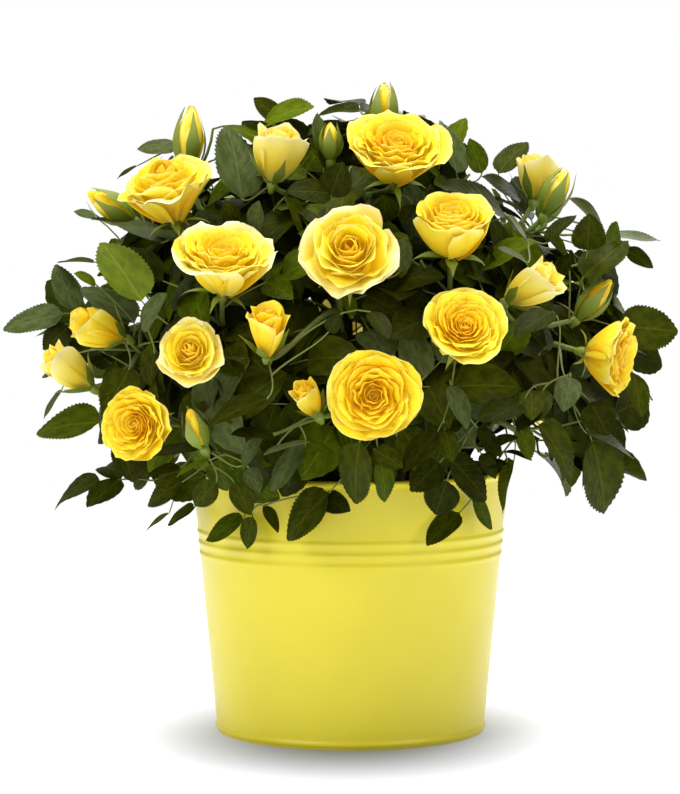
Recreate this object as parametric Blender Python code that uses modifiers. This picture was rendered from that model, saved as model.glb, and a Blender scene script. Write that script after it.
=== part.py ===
"""Potted rose: a bushy rose with yellow blooms, in a ribbed yellow metal pot. Metres, +Z up.

The origin is the middle of the pot's flat underside, and the front of the plant faces -Y.
Canes rise from the soil, each cane carries a few boughs, and each bough ends at one mass of
twigs, leaves and blooms that keeps to its own space.
"""

import math
import random
from collections import namedtuple

import bmesh
import bpy
from mathutils import Matrix, Vector
from mathutils.bvhtree import BVHTree
from mathutils.geometry import interpolate_bezier
from mathutils.kdtree import KDTree

MM = 0.001
UP = Vector((0, 0, 1))
GAP = 0.0003
CLEAR = 0.0005
MERGE_DISTANCE = 0.00001

# The pot: a tin cone with three ribs, a rolled rim and a small foot bead
POT_HEIGHT = 0.144
POT_FOOT_RADIUS = 0.0736
POT_FLARE = 0.0945
POT_WALL = 0.0012
POT_FLOOR = 0.002
POT_STEPS = 36
RIM_ROLL = 0.0016
RIM_ROLL_OUT = 0.0006
RIM_ROLL_INSIDE = 0.0035
RIM_ROLL_OUTSIDE = 0.0042
RIM_ROLL_ANGLES = (170, 130, 90, 50, 10, -30, -70)
RIB_HEIGHTS = (0.110, 0.104, 0.098)
RIB_WIDTH = 0.0046
RIB_PROUD = 0.0009
FOOT_BEAD_HEIGHT = 0.0022
FOOT_BEAD_PROUD = 0.0007

# The soil: a plug with a level middle that the canes stand on
SOIL_TOP = 0.128
SOIL_LEVEL_RADIUS = 0.055
SOIL_EDGE_DROP = 0.003

# Canes: foot and tip in millimetres, and the masses whose boughs they carry, the last on the tip
CANE_FLARE_RADIUS = 0.0066
CANE_RADIUS = 0.0040
CANE_TIP_RADIUS = 0.0026
CANE_FLARE_HEIGHT = 0.009
CANE_POINTS = 7
CANE_SIDES = 8
CANE_RESOLUTION = 2
CANES = {
    "front": ((-2, -26), (2, -50, 198), ("front_low", "front_mid")),
    "left": ((-26, -6), (-58, -22, 200), ("left_low", "left_front", "left")),
    "right": ((26, -8), (60, -28, 200), ("right_low", "right_front", "right")),
    "centre": ((0, 2), (-2, -2, 238), ("right_top", "left_top", "top")),
    "back_left": ((-16, 22), (-34, 48, 205), ("back_left", "back_mid", "back_left_top")),
    "back_right": ((18, 20), (36, 50, 205), ("back_low", "back_right", "back_right_top")),
}

# Boughs: each leaves its cane at a share of the cane's length and stops short of its mass
BOUGH_SHARES = (0.62, 0.84)
BOUGH_REACH = 0.56
BOUGH_RADIUS = 0.0020
BOUGH_TIP_RADIUS = 0.0014
BOUGH_POINTS = 5
BOUGH_SIDES = 6
BOUGH_RESOLUTION = 1
BOUGH_RISE = 0.7
BOUGH_LIFT = 0.010

# The heart of each mass, in millimetres
HEARTS = {
    "front_low": (5, -95, 190),
    "front_mid": (-10, -95, 245),
    "left_front": (-72, -90, 232),
    "left_low": (-92, -80, 168),
    "left": (-130, -35, 208),
    "left_top": (-92, -35, 285),
    "top": (0, -25, 312),
    "right_front": (52, -90, 245),
    "right_low": (92, -65, 168),
    "right": (120, -45, 215),
    "right_top": (90, 0, 278),
    "back_right": (98, 75, 205),
    "back_low": (10, 110, 185),
    "back_left": (-90, 80, 205),
    "back_mid": (2, 92, 246),
    "back_left_top": (-56, 60, 274),
    "back_right_top": (62, 68, 264),
}

# The crown: blooms lie on an inner dome, and leaves stay within an outer one
CROWN_CENTRE = Vector((0, 0, 0.200))
BLOOM_DOME = Vector((0.150, 0.135, 0.130))
LEAF_DOME = Vector((0.178, 0.166, 0.150))
LEAF_DOME_BELOW = 0.100

# The front is laid out as it is seen by an eye in front of the plant, in the plane of its axis
EYE = Vector((0, -1.6, 0.274))

# Bloom forms: sides, petals round the rim, depth for each unit across, and rings from the
# middle out and round to the base as (radius, height, how far the petals stand out)
Form = namedtuple("Form", "sides petals deep rings")
FORMS = {
    "open": Form(10, 5, 0.44, (
        (0, 0.62, 0), (0.20, 0.74, 0), (0.36, 0.54, 0), (0.74, 0.84, 0.05),
        (1.00, 0.80, 0.08), (0.56, 0.20, 0), (0, 0, 0),
    )),
    "cup": Form(10, 5, 0.64, (
        (0, 0.74, 0), (0.30, 0.92, 0), (0.50, 0.72, 0), (0.84, 1.00, 0.05),
        (0.96, 0.72, 0.06), (0.68, 0.20, 0), (0, 0, 0),
    )),
    "half": Form(8, 4, 1.20, (
        (0, 0.95, 0), (0.42, 1.00, 0), (0.86, 0.92, 0.08), (0.92, 0.56, 0.04),
        (0.66, 0.18, 0), (0, 0, 0),
    )),
    "bud": Form(6, 3, 1.75, (
        (0, 1.00, 0), (0.52, 0.76, 0), (0.96, 0.40, 0), (0.70, 0.11, 0), (0, 0, 0),
    )),
}

# Blooms seen from the front: mass, form, right, up, depth and size across in millimetres,
# and the way the bloom faces
FRONT_BLOOMS = (
    ("left_top", "open", -100, 296, -64, 54, (-0.35, -0.50, 0.80)),
    ("left_top", "bud", -88, 325, -28, 18, (0.05, -0.05, 1.00)),
    ("left_top", "bud", -132, 288, -30, 13, (-0.70, -0.20, 0.65)),
    ("left_front", "open", -70, 259, -114, 58, (0.05, -0.70, 0.72)),
    ("left_front", "open", -88, 207, -122, 39, (-0.20, -0.95, 0.20)),
    ("front_mid", "open", 0, 264, -126, 56, (-0.10, -0.97, 0.20)),
    ("front_mid", "half", -46, 218, -130, 24, (0.00, -0.50, 0.87)),
    ("top", "open", 25, 319, -72, 56, (0.05, -0.72, 0.69)),
    ("top", "half", -38, 317, -62, 34, (0.35, -0.15, 0.92)),
    ("top", "bud", 18, 344, -36, 15, (0.03, 0.00, 1.00)),
    ("top", "bud", -10, 329, -42, 12, (0.00, -0.10, 1.00)),
    ("right_front", "cup", 56, 276, -108, 47, (0.05, -0.55, 0.83)),
    ("right_front", "open", 62, 221, -132, 47, (-0.20, -0.95, 0.20)),
    ("front_low", "open", 13, 183, -146, 52, (0.05, -1.00, -0.02)),
    ("front_low", "half", -25, 182, -130, 18, (-0.40, -0.50, 0.77)),
    ("left_low", "open", -118, 170, -95, 38, (-0.45, -0.88, -0.10)),
    ("left_low", "bud", -86, 166, -112, 14, (-0.10, -0.35, 0.93)),
    ("left", "half", -141, 222, -62, 26, (-0.85, -0.35, 0.35)),
    ("left", "half", -156, 199, -42, 26, (-0.75, -0.25, 0.60)),
    ("right", "half", 103, 246, -92, 26, (0.82, -0.25, 0.50)),
    ("right", "cup", 142, 205, -72, 42, (0.86, -0.45, 0.15)),
    ("right", "bud", 134, 237, -50, 15, (0.65, -0.10, 0.75)),
    ("right_top", "half", 103, 306, 15, 26, (0.20, 0.10, 0.97)),
    ("right_top", "bud", 115, 296, -10, 15, (0.35, -0.05, 0.93)),
    ("right_top", "bud", 109, 290, 40, 13, (0.30, 0.40, 0.87)),
)

# Blooms round the back, spread evenly by the golden angle
BACK_BLOOMS = 15
BACK_FROM = 20 * MM
BACK_BLOOM_FROM = 12 * MM
BACK_HIGHEST = 0.95
BACK_LOWEST = -0.20
BACK_TRIES = 400
BACK_UP = (0.2, 0.7)
BACK_SIZES = (0.92, 1.08)
GOLDEN_SHARE = 0.618
BACK_FORMS = (("open", 50), ("half", 26), ("open", 44), ("bud", 16), ("cup", 44))
BACK_SPACING = 0.046
GOLDEN = math.radians(137.508)

# Leaf tips that give the crown its outline: mass, right, up and depth in millimetres, the way
# the leaf points, and its length in millimetres
FRONT_TIPS = (
    ("left", -190, 226, -15, (-1.00, -0.10, 0.05), 34),
    ("left", -172, 167, -35, (-0.85, -0.30, -0.45), 36),
    ("left", -160, 256, -15, (-0.70, -0.10, 0.70), 26),
    ("left", -179, 189, -30, (-0.95, -0.20, 0.10), 20),
    ("left_top", -139, 249, -70, (-0.80, -0.50, -0.30), 38),
    ("left_top", -138, 277, -20, (-0.95, -0.20, -0.10), 24),
    ("left_top", -67, 333, -62, (-0.10, -0.20, 0.97), 40),
    ("left_low", -112, 113, -62, (-0.70, -0.30, -0.65), 30),
    ("left_low", -71, 103, -98, (-0.15, -0.30, -0.94), 26),
    ("front_low", -50, 102, -108, (-0.10, -0.30, -0.95), 24),
    ("front_low", -28, 106, -118, (-0.20, -0.40, -0.90), 34),
    ("front_low", 52, 101, -112, (0.20, -0.30, -0.93), 26),
    ("right_low", 72, 110, -96, (0.20, -0.30, -0.93), 24),
    ("right_low", 87, 119, -82, (0.50, -0.40, -0.75), 28),
    ("right_low", 115, 138, -70, (0.60, -0.40, -0.70), 32),
    ("right_low", 143, 120, -30, (0.75, -0.20, -0.65), 40),
    ("right_low", 156, 153, -25, (0.95, -0.20, -0.10), 32),
    ("right", 179, 216, -15, (1.00, -0.10, 0.05), 34),
    ("right", 159, 172, -40, (0.70, -0.40, -0.55), 28),
    ("right_top", 169, 270, 0, (0.95, 0.00, 0.25), 34),
    ("right", 165, 253, -22, (0.90, -0.10, -0.10), 28),
    ("top", -52, 346, -15, (-0.75, -0.10, 0.65), 32),
    ("top", -18, 340, -32, (-0.10, -0.10, 1.00), 28),
    ("top", 53, 336, -20, (0.25, 0.00, 0.97), 30),
)
TO_FRONT = Vector((0, -0.9, 0.6))
# Round the back the tips stand in rings of (radius, height, how much the leaf hangs)
BACK_TIPS = 11
BACK_TIP_RINGS = ((0.168, 0.135, 0.9), (0.146, 0.180, 0.2), (0.168, 0.118, 0.9), (0.146, 0.225, 0.2))
BACK_TIP_LENGTH = 34 * MM
TIP_SITE_SHARES = (0.35, 1.1)
TIP_TRIES = 12
TIP_TURN = 0.06
TIP_JOINTS = 13

# Leafy shoots, spread evenly over the dome, and set deeper in where a bloom stands
LEAFY_ENDS = 46
LEAFY_HIGHEST = 0.93
LEAFY_LOWEST = -0.52
LEAFY_SPACING = 0.030
LEAFY_DEPTH = 0.80
LEAFY_DEPTH_BEHIND = 0.56

# Twigs
STEM_SIDES = 3
STEM_RADIUS = 0.0019
STEM_TIP_RADIUS = 0.0013
HIP_RADIUS = 0.0030
HIP_LENGTH = 0.0045
SINK = 0.0030
MAIN_POINTS = 6
SIDE_POINTS = 5
JOIN_SHARES = (0.20, 0.34, 0.12, 0.46, 0.28, 0.54)
STEM_TRIES = 40
STEM_BEND = 0.05
STEM_LEAD = 0.0030

# Leaves: thin blades cut to half outlines of (forward, sideways) in millimetres, from the sunk
# root to the tip, either with three leaflets or with one
LEAF_THICKNESS = 0.0009
LEAF_ROOT = 0.0003
LEAF_SHRINK = 1.02
LEAF_OUTLINES = {
    "three": ((0, 0.7), (9, 16), (23, 32), (29, 11), (20, 1.0), (42, 13), (67, 0)),
    "one": ((0, 0.7), (22, 14), (50, 0)),
}
LEAF_REACH = {"three": 0.067, "one": 0.050}
BLADE_LENGTH = {"three": 0.046, "one": 0.040}
LEAF_DROOP = 10
PAIR_DROOP = 16
STALK_RADIUS = 0.0008
STALK_OVERLAP = 0.006
STALK_POINTS = 4
FIRST_LEAF = 0.012
LEAF_STEPS = (0.023, 0.031)
LEAF_SIZES = (0.85, 1.05)
LEAF_FORWARD = (0, 0.6)
LEAF_OUTWARD = (-0.2, 0.4)
LEAF_UP = 0.3
LEAF_TRIES = 9
MOST_LEAVES = 8
BARE_END = 0.030

COLOURS = {
    "pot": ((0.72, 0.62, 0.045, 1), 0.35, 0.0),
    "soil": ((0.035, 0.022, 0.014, 1), 0.95, 0.0),
    "bark": ((0.11, 0.12, 0.035, 1), 0.75, 0.0),
    "twig": ((0.13, 0.20, 0.03, 1), 0.60, 0.0),
    "leaf": ((0.045, 0.09, 0.012, 1), 0.55, 0.0),
    "petal": ((0.90, 0.62, 0.03, 1), 0.60, 0.0),
}
TWIG, LEAF, PETAL = range(3)


def make_material(name):
    """A Principled material in one of the plant's colours."""
    colour, roughness, metallic = COLOURS[name]
    material = bpy.data.materials.new(name)
    material.use_nodes = True
    shader = material.node_tree.nodes["Principled BSDF"]
    shader.inputs["Base Color"].default_value = colour
    shader.inputs["Roughness"].default_value = roughness
    shader.inputs["Metallic"].default_value = metallic
    material.diffuse_color = colour
    return material


def add_object(name, data, collection):
    """A new object for the data, linked into the collection."""
    obj = bpy.data.objects.new(name, data)
    collection.objects.link(obj)
    return obj


def wall_radius(height):
    """The outer radius of the pot's plain wall at a height."""
    return POT_FOOT_RADIUS + POT_FLARE * height


def turned(name, profile, collection, material):
    """A profile of (radius, height) points turned round the pot's axis."""
    shape = bmesh.new()
    points = [shape.verts.new((radius, 0, height)) for radius, height in profile]
    for start, end in zip(points, points[1:]):
        shape.edges.new((start, end))
    mesh = bpy.data.meshes.new(name)
    shape.to_mesh(mesh)
    shape.free()
    mesh.materials.append(material)
    obj = add_object(name, mesh, collection)
    screw = obj.modifiers.new("Turn", "SCREW")
    screw.steps = POT_STEPS
    screw.render_steps = POT_STEPS
    screw.use_merge_vertices = True
    screw.merge_threshold = MERGE_DISTANCE
    screw.use_smooth_shade = False
    return obj


def pot_profile():
    """The pot's section: floor, inner wall, rolled rim, ribbed outer wall and foot."""
    roll_height = POT_HEIGHT - RIM_ROLL
    roll_radius = wall_radius(roll_height) + RIM_ROLL_OUT
    inner_top = POT_HEIGHT - RIM_ROLL_INSIDE
    under_roll = POT_HEIGHT - RIM_ROLL_OUTSIDE
    profile = [
        (0, POT_FLOOR),
        (wall_radius(POT_FLOOR) - POT_WALL, POT_FLOOR),
        (wall_radius(inner_top) - POT_WALL, inner_top),
    ]
    for degrees in RIM_ROLL_ANGLES:
        angle = math.radians(degrees)
        profile.append((
            roll_radius + RIM_ROLL * math.cos(angle),
            roll_height + RIM_ROLL * math.sin(angle),
        ))
    profile.append((wall_radius(under_roll), under_roll))
    for height in RIB_HEIGHTS:
        top, bottom = height + RIB_WIDTH / 2, height - RIB_WIDTH / 2
        profile.append((wall_radius(top), top))
        profile.append((wall_radius(height) + RIB_PROUD, height))
        profile.append((wall_radius(bottom), bottom))
    profile.append((wall_radius(2 * FOOT_BEAD_HEIGHT), 2 * FOOT_BEAD_HEIGHT))
    profile.append((wall_radius(FOOT_BEAD_HEIGHT) + FOOT_BEAD_PROUD, FOOT_BEAD_HEIGHT))
    profile.append((wall_radius(0), 0))
    profile.append((0, 0))
    return profile


def soil_profile():
    """The soil's section, a gap clear of the pot's floor and wall."""
    edge_top = SOIL_TOP - SOIL_EDGE_DROP
    bottom = POT_FLOOR + GAP
    return [
        (0, SOIL_TOP),
        (SOIL_LEVEL_RADIUS, SOIL_TOP),
        (wall_radius(edge_top) - POT_WALL - GAP, edge_top),
        (wall_radius(bottom) - POT_WALL - GAP, bottom),
        (0, bottom),
    ]


def limb(name, points, radii, resolution, collection, material):
    """A tapering round limb: a curve with a bevel and filled caps."""
    curve = bpy.data.curves.new(name, "CURVE")
    curve.dimensions = "3D"
    curve.bevel_depth = 1
    curve.bevel_resolution = resolution
    curve.use_fill_caps = True
    curve.materials.append(material)
    spline = curve.splines.new("POLY")
    spline.points.add(len(points) - 1)
    for knot, place, radius in zip(spline.points, points, radii):
        knot.co = (*place, 1)
        knot.radius = radius
    return add_object(name, curve, collection)


def curved(start, leave, end, arrive, count):
    """Points on a smooth curve that leaves and arrives along the given directions."""
    reach = (end - start).length / 3
    return interpolate_bezier(
        start, start + leave.normalized() * reach, end - arrive.normalized() * reach, end, count
    )


def tapered(first, last, count):
    """Radii that fall evenly from the first to the last."""
    return [first + (last - first) * index / (count - 1) for index in range(count)]


def scatter(rng):
    """A vector that points any way, each part of it between -1 and 1."""
    return Vector(rng.uniform(-1, 1) for _ in range(3))


def place_on(points, distance):
    """The place and direction at a distance along a line of points."""
    for start, end in zip(points, points[1:]):
        length = (end - start).length
        if distance <= length:
            return start.lerp(end, distance / length), (end - start).normalized()
        distance -= length
    return points[-1].copy(), (points[-1] - points[-2]).normalized()


def length_of(points):
    """The length of a line of points."""
    return sum((end - start).length for start, end in zip(points, points[1:]))


def tube(points, radii, sides, kind=TWIG):
    """A closed tapering stem, extruded along its points from a flat end."""
    shape = bmesh.new()
    bmesh.ops.create_circle(shape, cap_ends=True, segments=sides, radius=radii[0])
    axis = (points[1] - points[0]).normalized()
    turn = UP.rotation_difference(axis)
    for vert in shape.verts:
        vert.co = points[0] + turn @ vert.co
    end_face = shape.faces[:][0]
    last = len(points) - 1
    for index in range(1, last + 1):
        next_axis = (points[min(index + 1, last)] - points[index - 1]).normalized()
        turn = axis.rotation_difference(next_axis)
        share = radii[index] / radii[index - 1]
        made = bmesh.ops.extrude_face_region(shape, geom=[end_face])["geom"]
        if index > 1:
            shape.faces.remove(end_face)
        end_face = next(item for item in made if isinstance(item, bmesh.types.BMFace))
        for vert in end_face.verts:
            vert.co = points[index] + turn @ (vert.co - points[index - 1]) * share
        axis = next_axis
    bmesh.ops.recalc_face_normals(shape, faces=shape.faces)
    for face in shape.faces:
        face.material_index = kind
    return shape


def leaf_shape(root, aim, up, size, outline, grown=0):
    """A closed thin leaf: its flat outline filled, given a thickness, and bent down."""
    half = LEAF_OUTLINES[outline]
    around = half + tuple((forward, -side) for forward, side in reversed(half[:-1]))
    thickness = LEAF_THICKNESS + 2 * grown
    spread = size * MM * (LEAF_SHRINK if grown else 1)
    shape = bmesh.new()
    rim = [shape.verts.new((forward, side, -thickness / 2)) for forward, side in around]
    flat = shape.faces.new(rim)
    made = bmesh.ops.extrude_face_region(shape, geom=[flat])["geom"]
    bmesh.ops.translate(
        shape, vec=(0, 0, thickness), verts=[v for v in made if isinstance(v, bmesh.types.BMVert)]
    )
    bmesh.ops.triangulate(shape, faces=shape.faces)
    bmesh.ops.recalc_face_normals(shape, faces=shape.faces)
    across = up.cross(aim).normalized()
    over = aim.cross(across)
    reach = LEAF_REACH[outline] / MM
    for vert in shape.verts:
        forward, side, thick = vert.co
        bend = LEAF_DROOP * (forward / reach) ** 2 + PAIR_DROOP * (side / reach) ** 2
        vert.co = (
            root
            + aim * (forward * spread - LEAF_ROOT)
            + across * side * spread
            + over * (thick - bend * spread)
        )
    for face in shape.faces:
        face.material_index = LEAF
    return shape


def bloom_shape(bloom, grown=0):
    """A bloom or bud: a ball whose rings are moved onto the form's section, with petals round it."""
    form = FORMS[bloom.form]
    bands = len(form.rings) - 1
    shape = bmesh.new()
    bmesh.ops.create_uvsphere(shape, u_segments=form.sides, v_segments=bands, radius=1)
    turn = UP.rotation_difference(bloom.facing)
    for vert in shape.verts:
        ring = round(math.acos(max(-1, min(1, vert.co.z))) / math.pi * bands)
        radius, height, petals = form.rings[ring]
        angle = math.atan2(vert.co.y, vert.co.x)
        reach = bloom.across / 2 * radius * (1 + petals * math.cos(form.petals * angle))
        reach += grown if radius else 0
        rise = bloom.across * form.deep * height + grown * (2 * height - 1)
        place = Vector((reach * math.cos(angle), reach * math.sin(angle), rise))
        vert.co = bloom.base + turn @ place
    for face in shape.faces:
        face.material_index = PETAL
    return shape


def in_depth(right, up, depth):
    """Where something seen at (right, up) in the plane of the axis lies at a depth, in metres."""
    seen = Vector((right, 0, up)) * MM
    share = (depth * MM - EYE.y) / -EYE.y
    return EYE + (seen - EYE) * share, share


Bloom = namedtuple("Bloom", "mass form across facing centre base")


def make_bloom(mass, form, across, facing, centre):
    """A bloom whose middle is at the centre."""
    facing = Vector(facing).normalized()
    base = centre - facing * across * FORMS[form].deep / 2
    return Bloom(mass, form, across, facing, centre, base)


def nearest_heart(place, masses):
    """The mass whose heart lies nearest to the same way from the crown's centre."""
    way = place - CROWN_CENTRE
    return min(masses, key=lambda mass: way.angle(Vector(HEARTS[mass]) * MM - CROWN_CENTRE))


def dome_point(dome, turn, height):
    """The point of a dome at a turn round the axis and a height from -1 to 1."""
    level = math.sqrt(1 - height * height)
    around = Vector((level * math.cos(turn), level * math.sin(turn), height))
    return CROWN_CENTRE + Vector(a * b for a, b in zip(dome, around))


def make_blooms():
    """Every bloom: those of the front by hand, and those of the back by the golden angle."""
    blooms = []
    for mass, form, right, up, depth, across, facing in FRONT_BLOOMS:
        centre, share = in_depth(right, up, depth)
        blooms.append(make_bloom(mass, form, across * share * MM, facing, centre))
    back = [mass for mass, heart in HEARTS.items() if heart[1] * MM > BACK_FROM]
    rng = random.Random("back blooms")
    made = 0
    for index in range(BACK_TRIES):
        share = (index * GOLDEN_SHARE) % 1
        height = BACK_HIGHEST + (BACK_LOWEST - BACK_HIGHEST) * share
        place = dome_point(BLOOM_DOME, index * GOLDEN, height)
        crowded = min((place - bloom.centre).length for bloom in blooms) < BACK_SPACING
        if made == BACK_BLOOMS or place.y < BACK_BLOOM_FROM or crowded:
            continue
        form, across = BACK_FORMS[made % len(BACK_FORMS)]
        facing = (place - CROWN_CENTRE).normalized() + UP * rng.uniform(*BACK_UP)
        size = across * rng.uniform(*BACK_SIZES) * MM
        blooms.append(make_bloom(nearest_heart(place, back), form, size, facing, place))
        made += 1
    return blooms


Tip = namedtuple("Tip", "mass place facing up length")


def make_tips():
    """The leaf tips of the outline: the front's by hand, and a ring of them round the back."""
    tips = []
    for mass, right, up, depth, facing, length in FRONT_TIPS:
        place, share = in_depth(right, up, depth)
        tips.append(Tip(mass, place, Vector(facing).normalized(), TO_FRONT, length * share * MM))
    back = [mass for mass, heart in HEARTS.items() if heart[1] * MM > BACK_FROM]
    for index in range(BACK_TIPS):
        turn = math.pi * (index + 0.5) / BACK_TIPS
        radius, height, hang = BACK_TIP_RINGS[index % len(BACK_TIP_RINGS)]
        out = Vector((math.cos(turn), math.sin(turn), 0))
        place = out * radius + UP * height
        facing = (out - UP * hang).normalized()
        tips.append(Tip(nearest_heart(place, back), place, facing, UP + out, BACK_TIP_LENGTH))
    return tips


def make_leafy_ends(blooms):
    """Ends of leafy shoots, even all over the dome, and deeper in behind the blooms."""
    ends = []
    for index in range(LEAFY_ENDS):
        height = LEAFY_HIGHEST + (LEAFY_LOWEST - LEAFY_HIGHEST) * (index + 0.5) / LEAFY_ENDS
        outer = dome_point(BLOOM_DOME, index * GOLDEN, height)
        behind = min((outer - bloom.centre).length for bloom in blooms) < LEAFY_SPACING
        depth = LEAFY_DEPTH_BEHIND if behind else LEAFY_DEPTH
        place = dome_point(BLOOM_DOME * depth, index * GOLDEN, height)
        ends.append((nearest_heart(place, HEARTS), place))
    return ends


class Placed:
    """The pieces laid so far, so that the next one can keep clear of them."""

    def __init__(self):
        self.rows = []

    def add(self, owner, kind, shape):
        """Keeps a piece, with what it belongs to and what it is."""
        centre, reach = self.ball(shape)
        self.rows.append((owner, kind, centre, reach, BVHTree.FromBMesh(shape)))

    def meets(self, shape, owner, may_touch):
        """Whether a shape touches a piece. It may touch the kinds given, of its own mass."""
        centre, reach = self.ball(shape)
        tree = BVHTree.FromBMesh(shape)
        for other_owner, kind, other_centre, other_reach, other in self.rows:
            if other_owner == owner and kind in may_touch:
                continue
            if (centre - other_centre).length < reach + other_reach and tree.overlap(other):
                return True
        return False

    @staticmethod
    def ball(shape):
        """The middle of a shape and the distance to its furthest point."""
        centre = sum((vert.co for vert in shape.verts), Vector()) / len(shape.verts)
        return centre, max((vert.co - centre).length for vert in shape.verts)


class Crown:
    """The plant above the soil: its limbs, and the pieces of each mass."""

    def __init__(self, blooms, tips, ends):
        self.blooms = blooms
        self.tips = tips
        self.ends = ends
        self.placed = Placed()
        self.limbs = []
        self.pieces = {mass: [] for mass in HEARTS}
        self.stems = {mass: [] for mass in HEARTS}
        self.sites = self.make_sites()

    def make_sites(self):
        """The points that share out the crown: each place in it belongs to the nearest one."""
        owned = [(mass, Vector(heart) * MM) for mass, heart in HEARTS.items()]
        owned += [(bloom.mass, bloom.centre) for bloom in self.blooms]
        for share in TIP_SITE_SHARES:
            owned += [(tip.mass, tip.place - tip.facing * tip.length * share) for tip in self.tips]
        owned += self.ends
        self.site_masses = [mass for mass, place in owned]
        sites = KDTree(len(owned))
        for index, (mass, place) in enumerate(owned):
            sites.insert(place, index)
        sites.balance()
        return sites

    def in_space(self, shape, mass, under_dome):
        """Whether every point of a shape lies in the mass's own space, and under the dome."""
        for vert in shape.verts:
            if self.site_masses[self.sites.find(vert.co)[1]] != mass:
                return False
            if not under_dome:
                continue
            away = vert.co - CROWN_CENTRE
            tall = LEAF_DOME.z if away.z > 0 else LEAF_DOME_BELOW
            if (away.x / LEAF_DOME.x) ** 2 + (away.y / LEAF_DOME.y) ** 2 + (away.z / tall) ** 2 > 1:
                return False
        return True

    def clear_curve(self, start, leave, end, arrive, radii, owner, may_touch):
        """A curve between two places, bent a little more at each try until it is clear."""
        rng = random.Random(f"{owner} {start.x:.4f} {end.x:.4f} {end.z:.4f}")
        for attempt in range(STEM_TRIES):
            first = leave + scatter(rng) * attempt * STEM_BEND
            last = arrive + scatter(rng) * attempt * STEM_BEND
            lead = start + leave.normalized() * STEM_LEAD
            points = [start] + curved(lead, first, end, last, len(radii) - 1)
            guard = tube(points[1:], [radius + CLEAR for radius in radii[1:]], STEM_SIDES)
            meets = self.placed.meets(guard, owner, may_touch)
            guard.free()
            if not meets:
                return points
        return None

    def add_limbs(self):
        """The canes, and the boughs that they carry."""
        starts = []
        for name, (foot, tip, masses) in CANES.items():
            foot = Vector((foot[0] * MM, foot[1] * MM, SOIL_TOP + GAP))
            tip = Vector(tip) * MM
            top = foot + UP * CANE_FLARE_HEIGHT
            rise = curved(top, UP, tip, tip - foot, CANE_POINTS - 1)
            points = [foot] + rise
            radii = [CANE_FLARE_RADIUS] + tapered(CANE_RADIUS, CANE_TIP_RADIUS, CANE_POINTS - 1)
            self.limbs.append((f"cane_{name}", points, radii, CANE_RESOLUTION))
            self.keep(tube(points, radii, CANE_SIDES), f"cane_{name}", "limb")
            length = length_of(points)
            for share, mass in zip(BOUGH_SHARES[: len(masses) - 1] + (1,), masses):
                starts.append((mass, share, points, radii, length))
        for mass, share, points, radii, length in starts:
            self.add_bough(mass, share, points, radii, length)

    def add_bough(self, mass, share, cane, cane_radii, length):
        """One bough, from the side or the tip of its cane towards the heart of its mass."""
        heart = Vector(HEARTS[mass]) * MM
        place, axis = place_on(cane, share * length)
        if share == 1:
            leave = axis
            start = place + axis * GAP
        else:
            outward = heart - place
            side = (outward - axis * outward.dot(axis)).normalized()
            leave = (side + axis * BOUGH_RISE).normalized()
            cane_radius = CANE_RADIUS + (CANE_TIP_RADIUS - CANE_RADIUS) * share
            start = place + side * (cane_radius + GAP + BOUGH_RADIUS * leave.dot(axis))
        end = start.lerp(heart, BOUGH_REACH)
        radii = tapered(BOUGH_RADIUS, BOUGH_TIP_RADIUS, BOUGH_POINTS)
        arrive = heart - end + UP * BOUGH_LIFT
        points = self.clear_curve(start, leave, end, arrive, radii, mass, ())
        if points is None:
            raise ValueError(f"no clear way for the bough of {mass}")
        self.limbs.append((f"bough_{mass}", points, radii, BOUGH_RESOLUTION))
        self.keep(tube(points, radii, BOUGH_SIDES), f"bough_{mass}", "limb")
        self.stems[mass].append([points[-1], (points[-1] - points[-2]).normalized()])

    def keep(self, shape, owner, kind):
        """Marks a piece as laid and lets its working mesh go."""
        self.placed.add(owner, kind, shape)
        shape.free()

    def add_piece(self, shape, mass, kind):
        """Lays a piece of a mass."""
        self.placed.add(mass, kind, shape)
        self.pieces[mass].append(shape)

    def add_blooms(self):
        """Every bloom, before any twig."""
        for index, bloom in enumerate(self.blooms):
            guard = bloom_shape(bloom, CLEAR)
            if self.placed.meets(guard, bloom.mass, ()):
                print(f"bloom {index} of {bloom.mass} meets another piece")
            guard.free()
            self.placed.add(bloom.mass, f"bloom {index}", bloom_shape(bloom))

    def add_stems(self):
        """The shoots of every mass: the main one from the bough, and the others out of it."""
        for mass in HEARTS:
            tip, axis = self.stems[mass].pop()
            goals = []
            for index, bloom in enumerate(self.blooms):
                if bloom.mass == mass:
                    goals.append((bloom.base + bloom.facing * SINK, bloom.facing, index))
            heart = Vector(HEARTS[mass]) * MM
            for place in [place for owner, place in self.ends if owner == mass] or [heart]:
                goals.append((place, (place - CROWN_CENTRE).normalized(), None))
            start = tip + axis * GAP
            self.add_stem(mass, start, axis, goals[0], MAIN_POINTS)
            main = self.stems[mass][0][0]
            length = length_of(main)
            for number, goal in enumerate(goals[1:]):
                share = JOIN_SHARES[number % len(JOIN_SHARES)]
                place, direction = place_on(main, share * length)
                leave = direction + (goal[0] - place).normalized()
                self.add_stem(mass, place, leave, goal, SIDE_POINTS)

    def add_stem(self, mass, start, leave, goal, count):
        """One shoot, up to a bloom that it carries or to a leafy end."""
        end, arrive, index = goal
        radii = tapered(STEM_RADIUS, STEM_TIP_RADIUS, count)
        touch = {"twig"} if index is None else {"twig", f"bloom {index}"}
        points = self.clear_curve(start, leave, end, arrive, radii, mass, touch)
        if points is None:
            print(f"no clear way in {mass} for a shoot to bloom {index}")
            return
        if index is not None:
            hip = points[-1] - (points[-1] - points[-2]).normalized() * (HIP_LENGTH + SINK)
            points = points[:-1] + [hip, points[-1]]
            radii = radii[:-1] + [STEM_TIP_RADIUS, HIP_RADIUS]
            self.pieces[mass].append(bloom_shape(self.blooms[index]))
        self.add_piece(tube(points, radii, STEM_SIDES), mass, "twig")
        self.stems[mass].append((points, index is not None))

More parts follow.
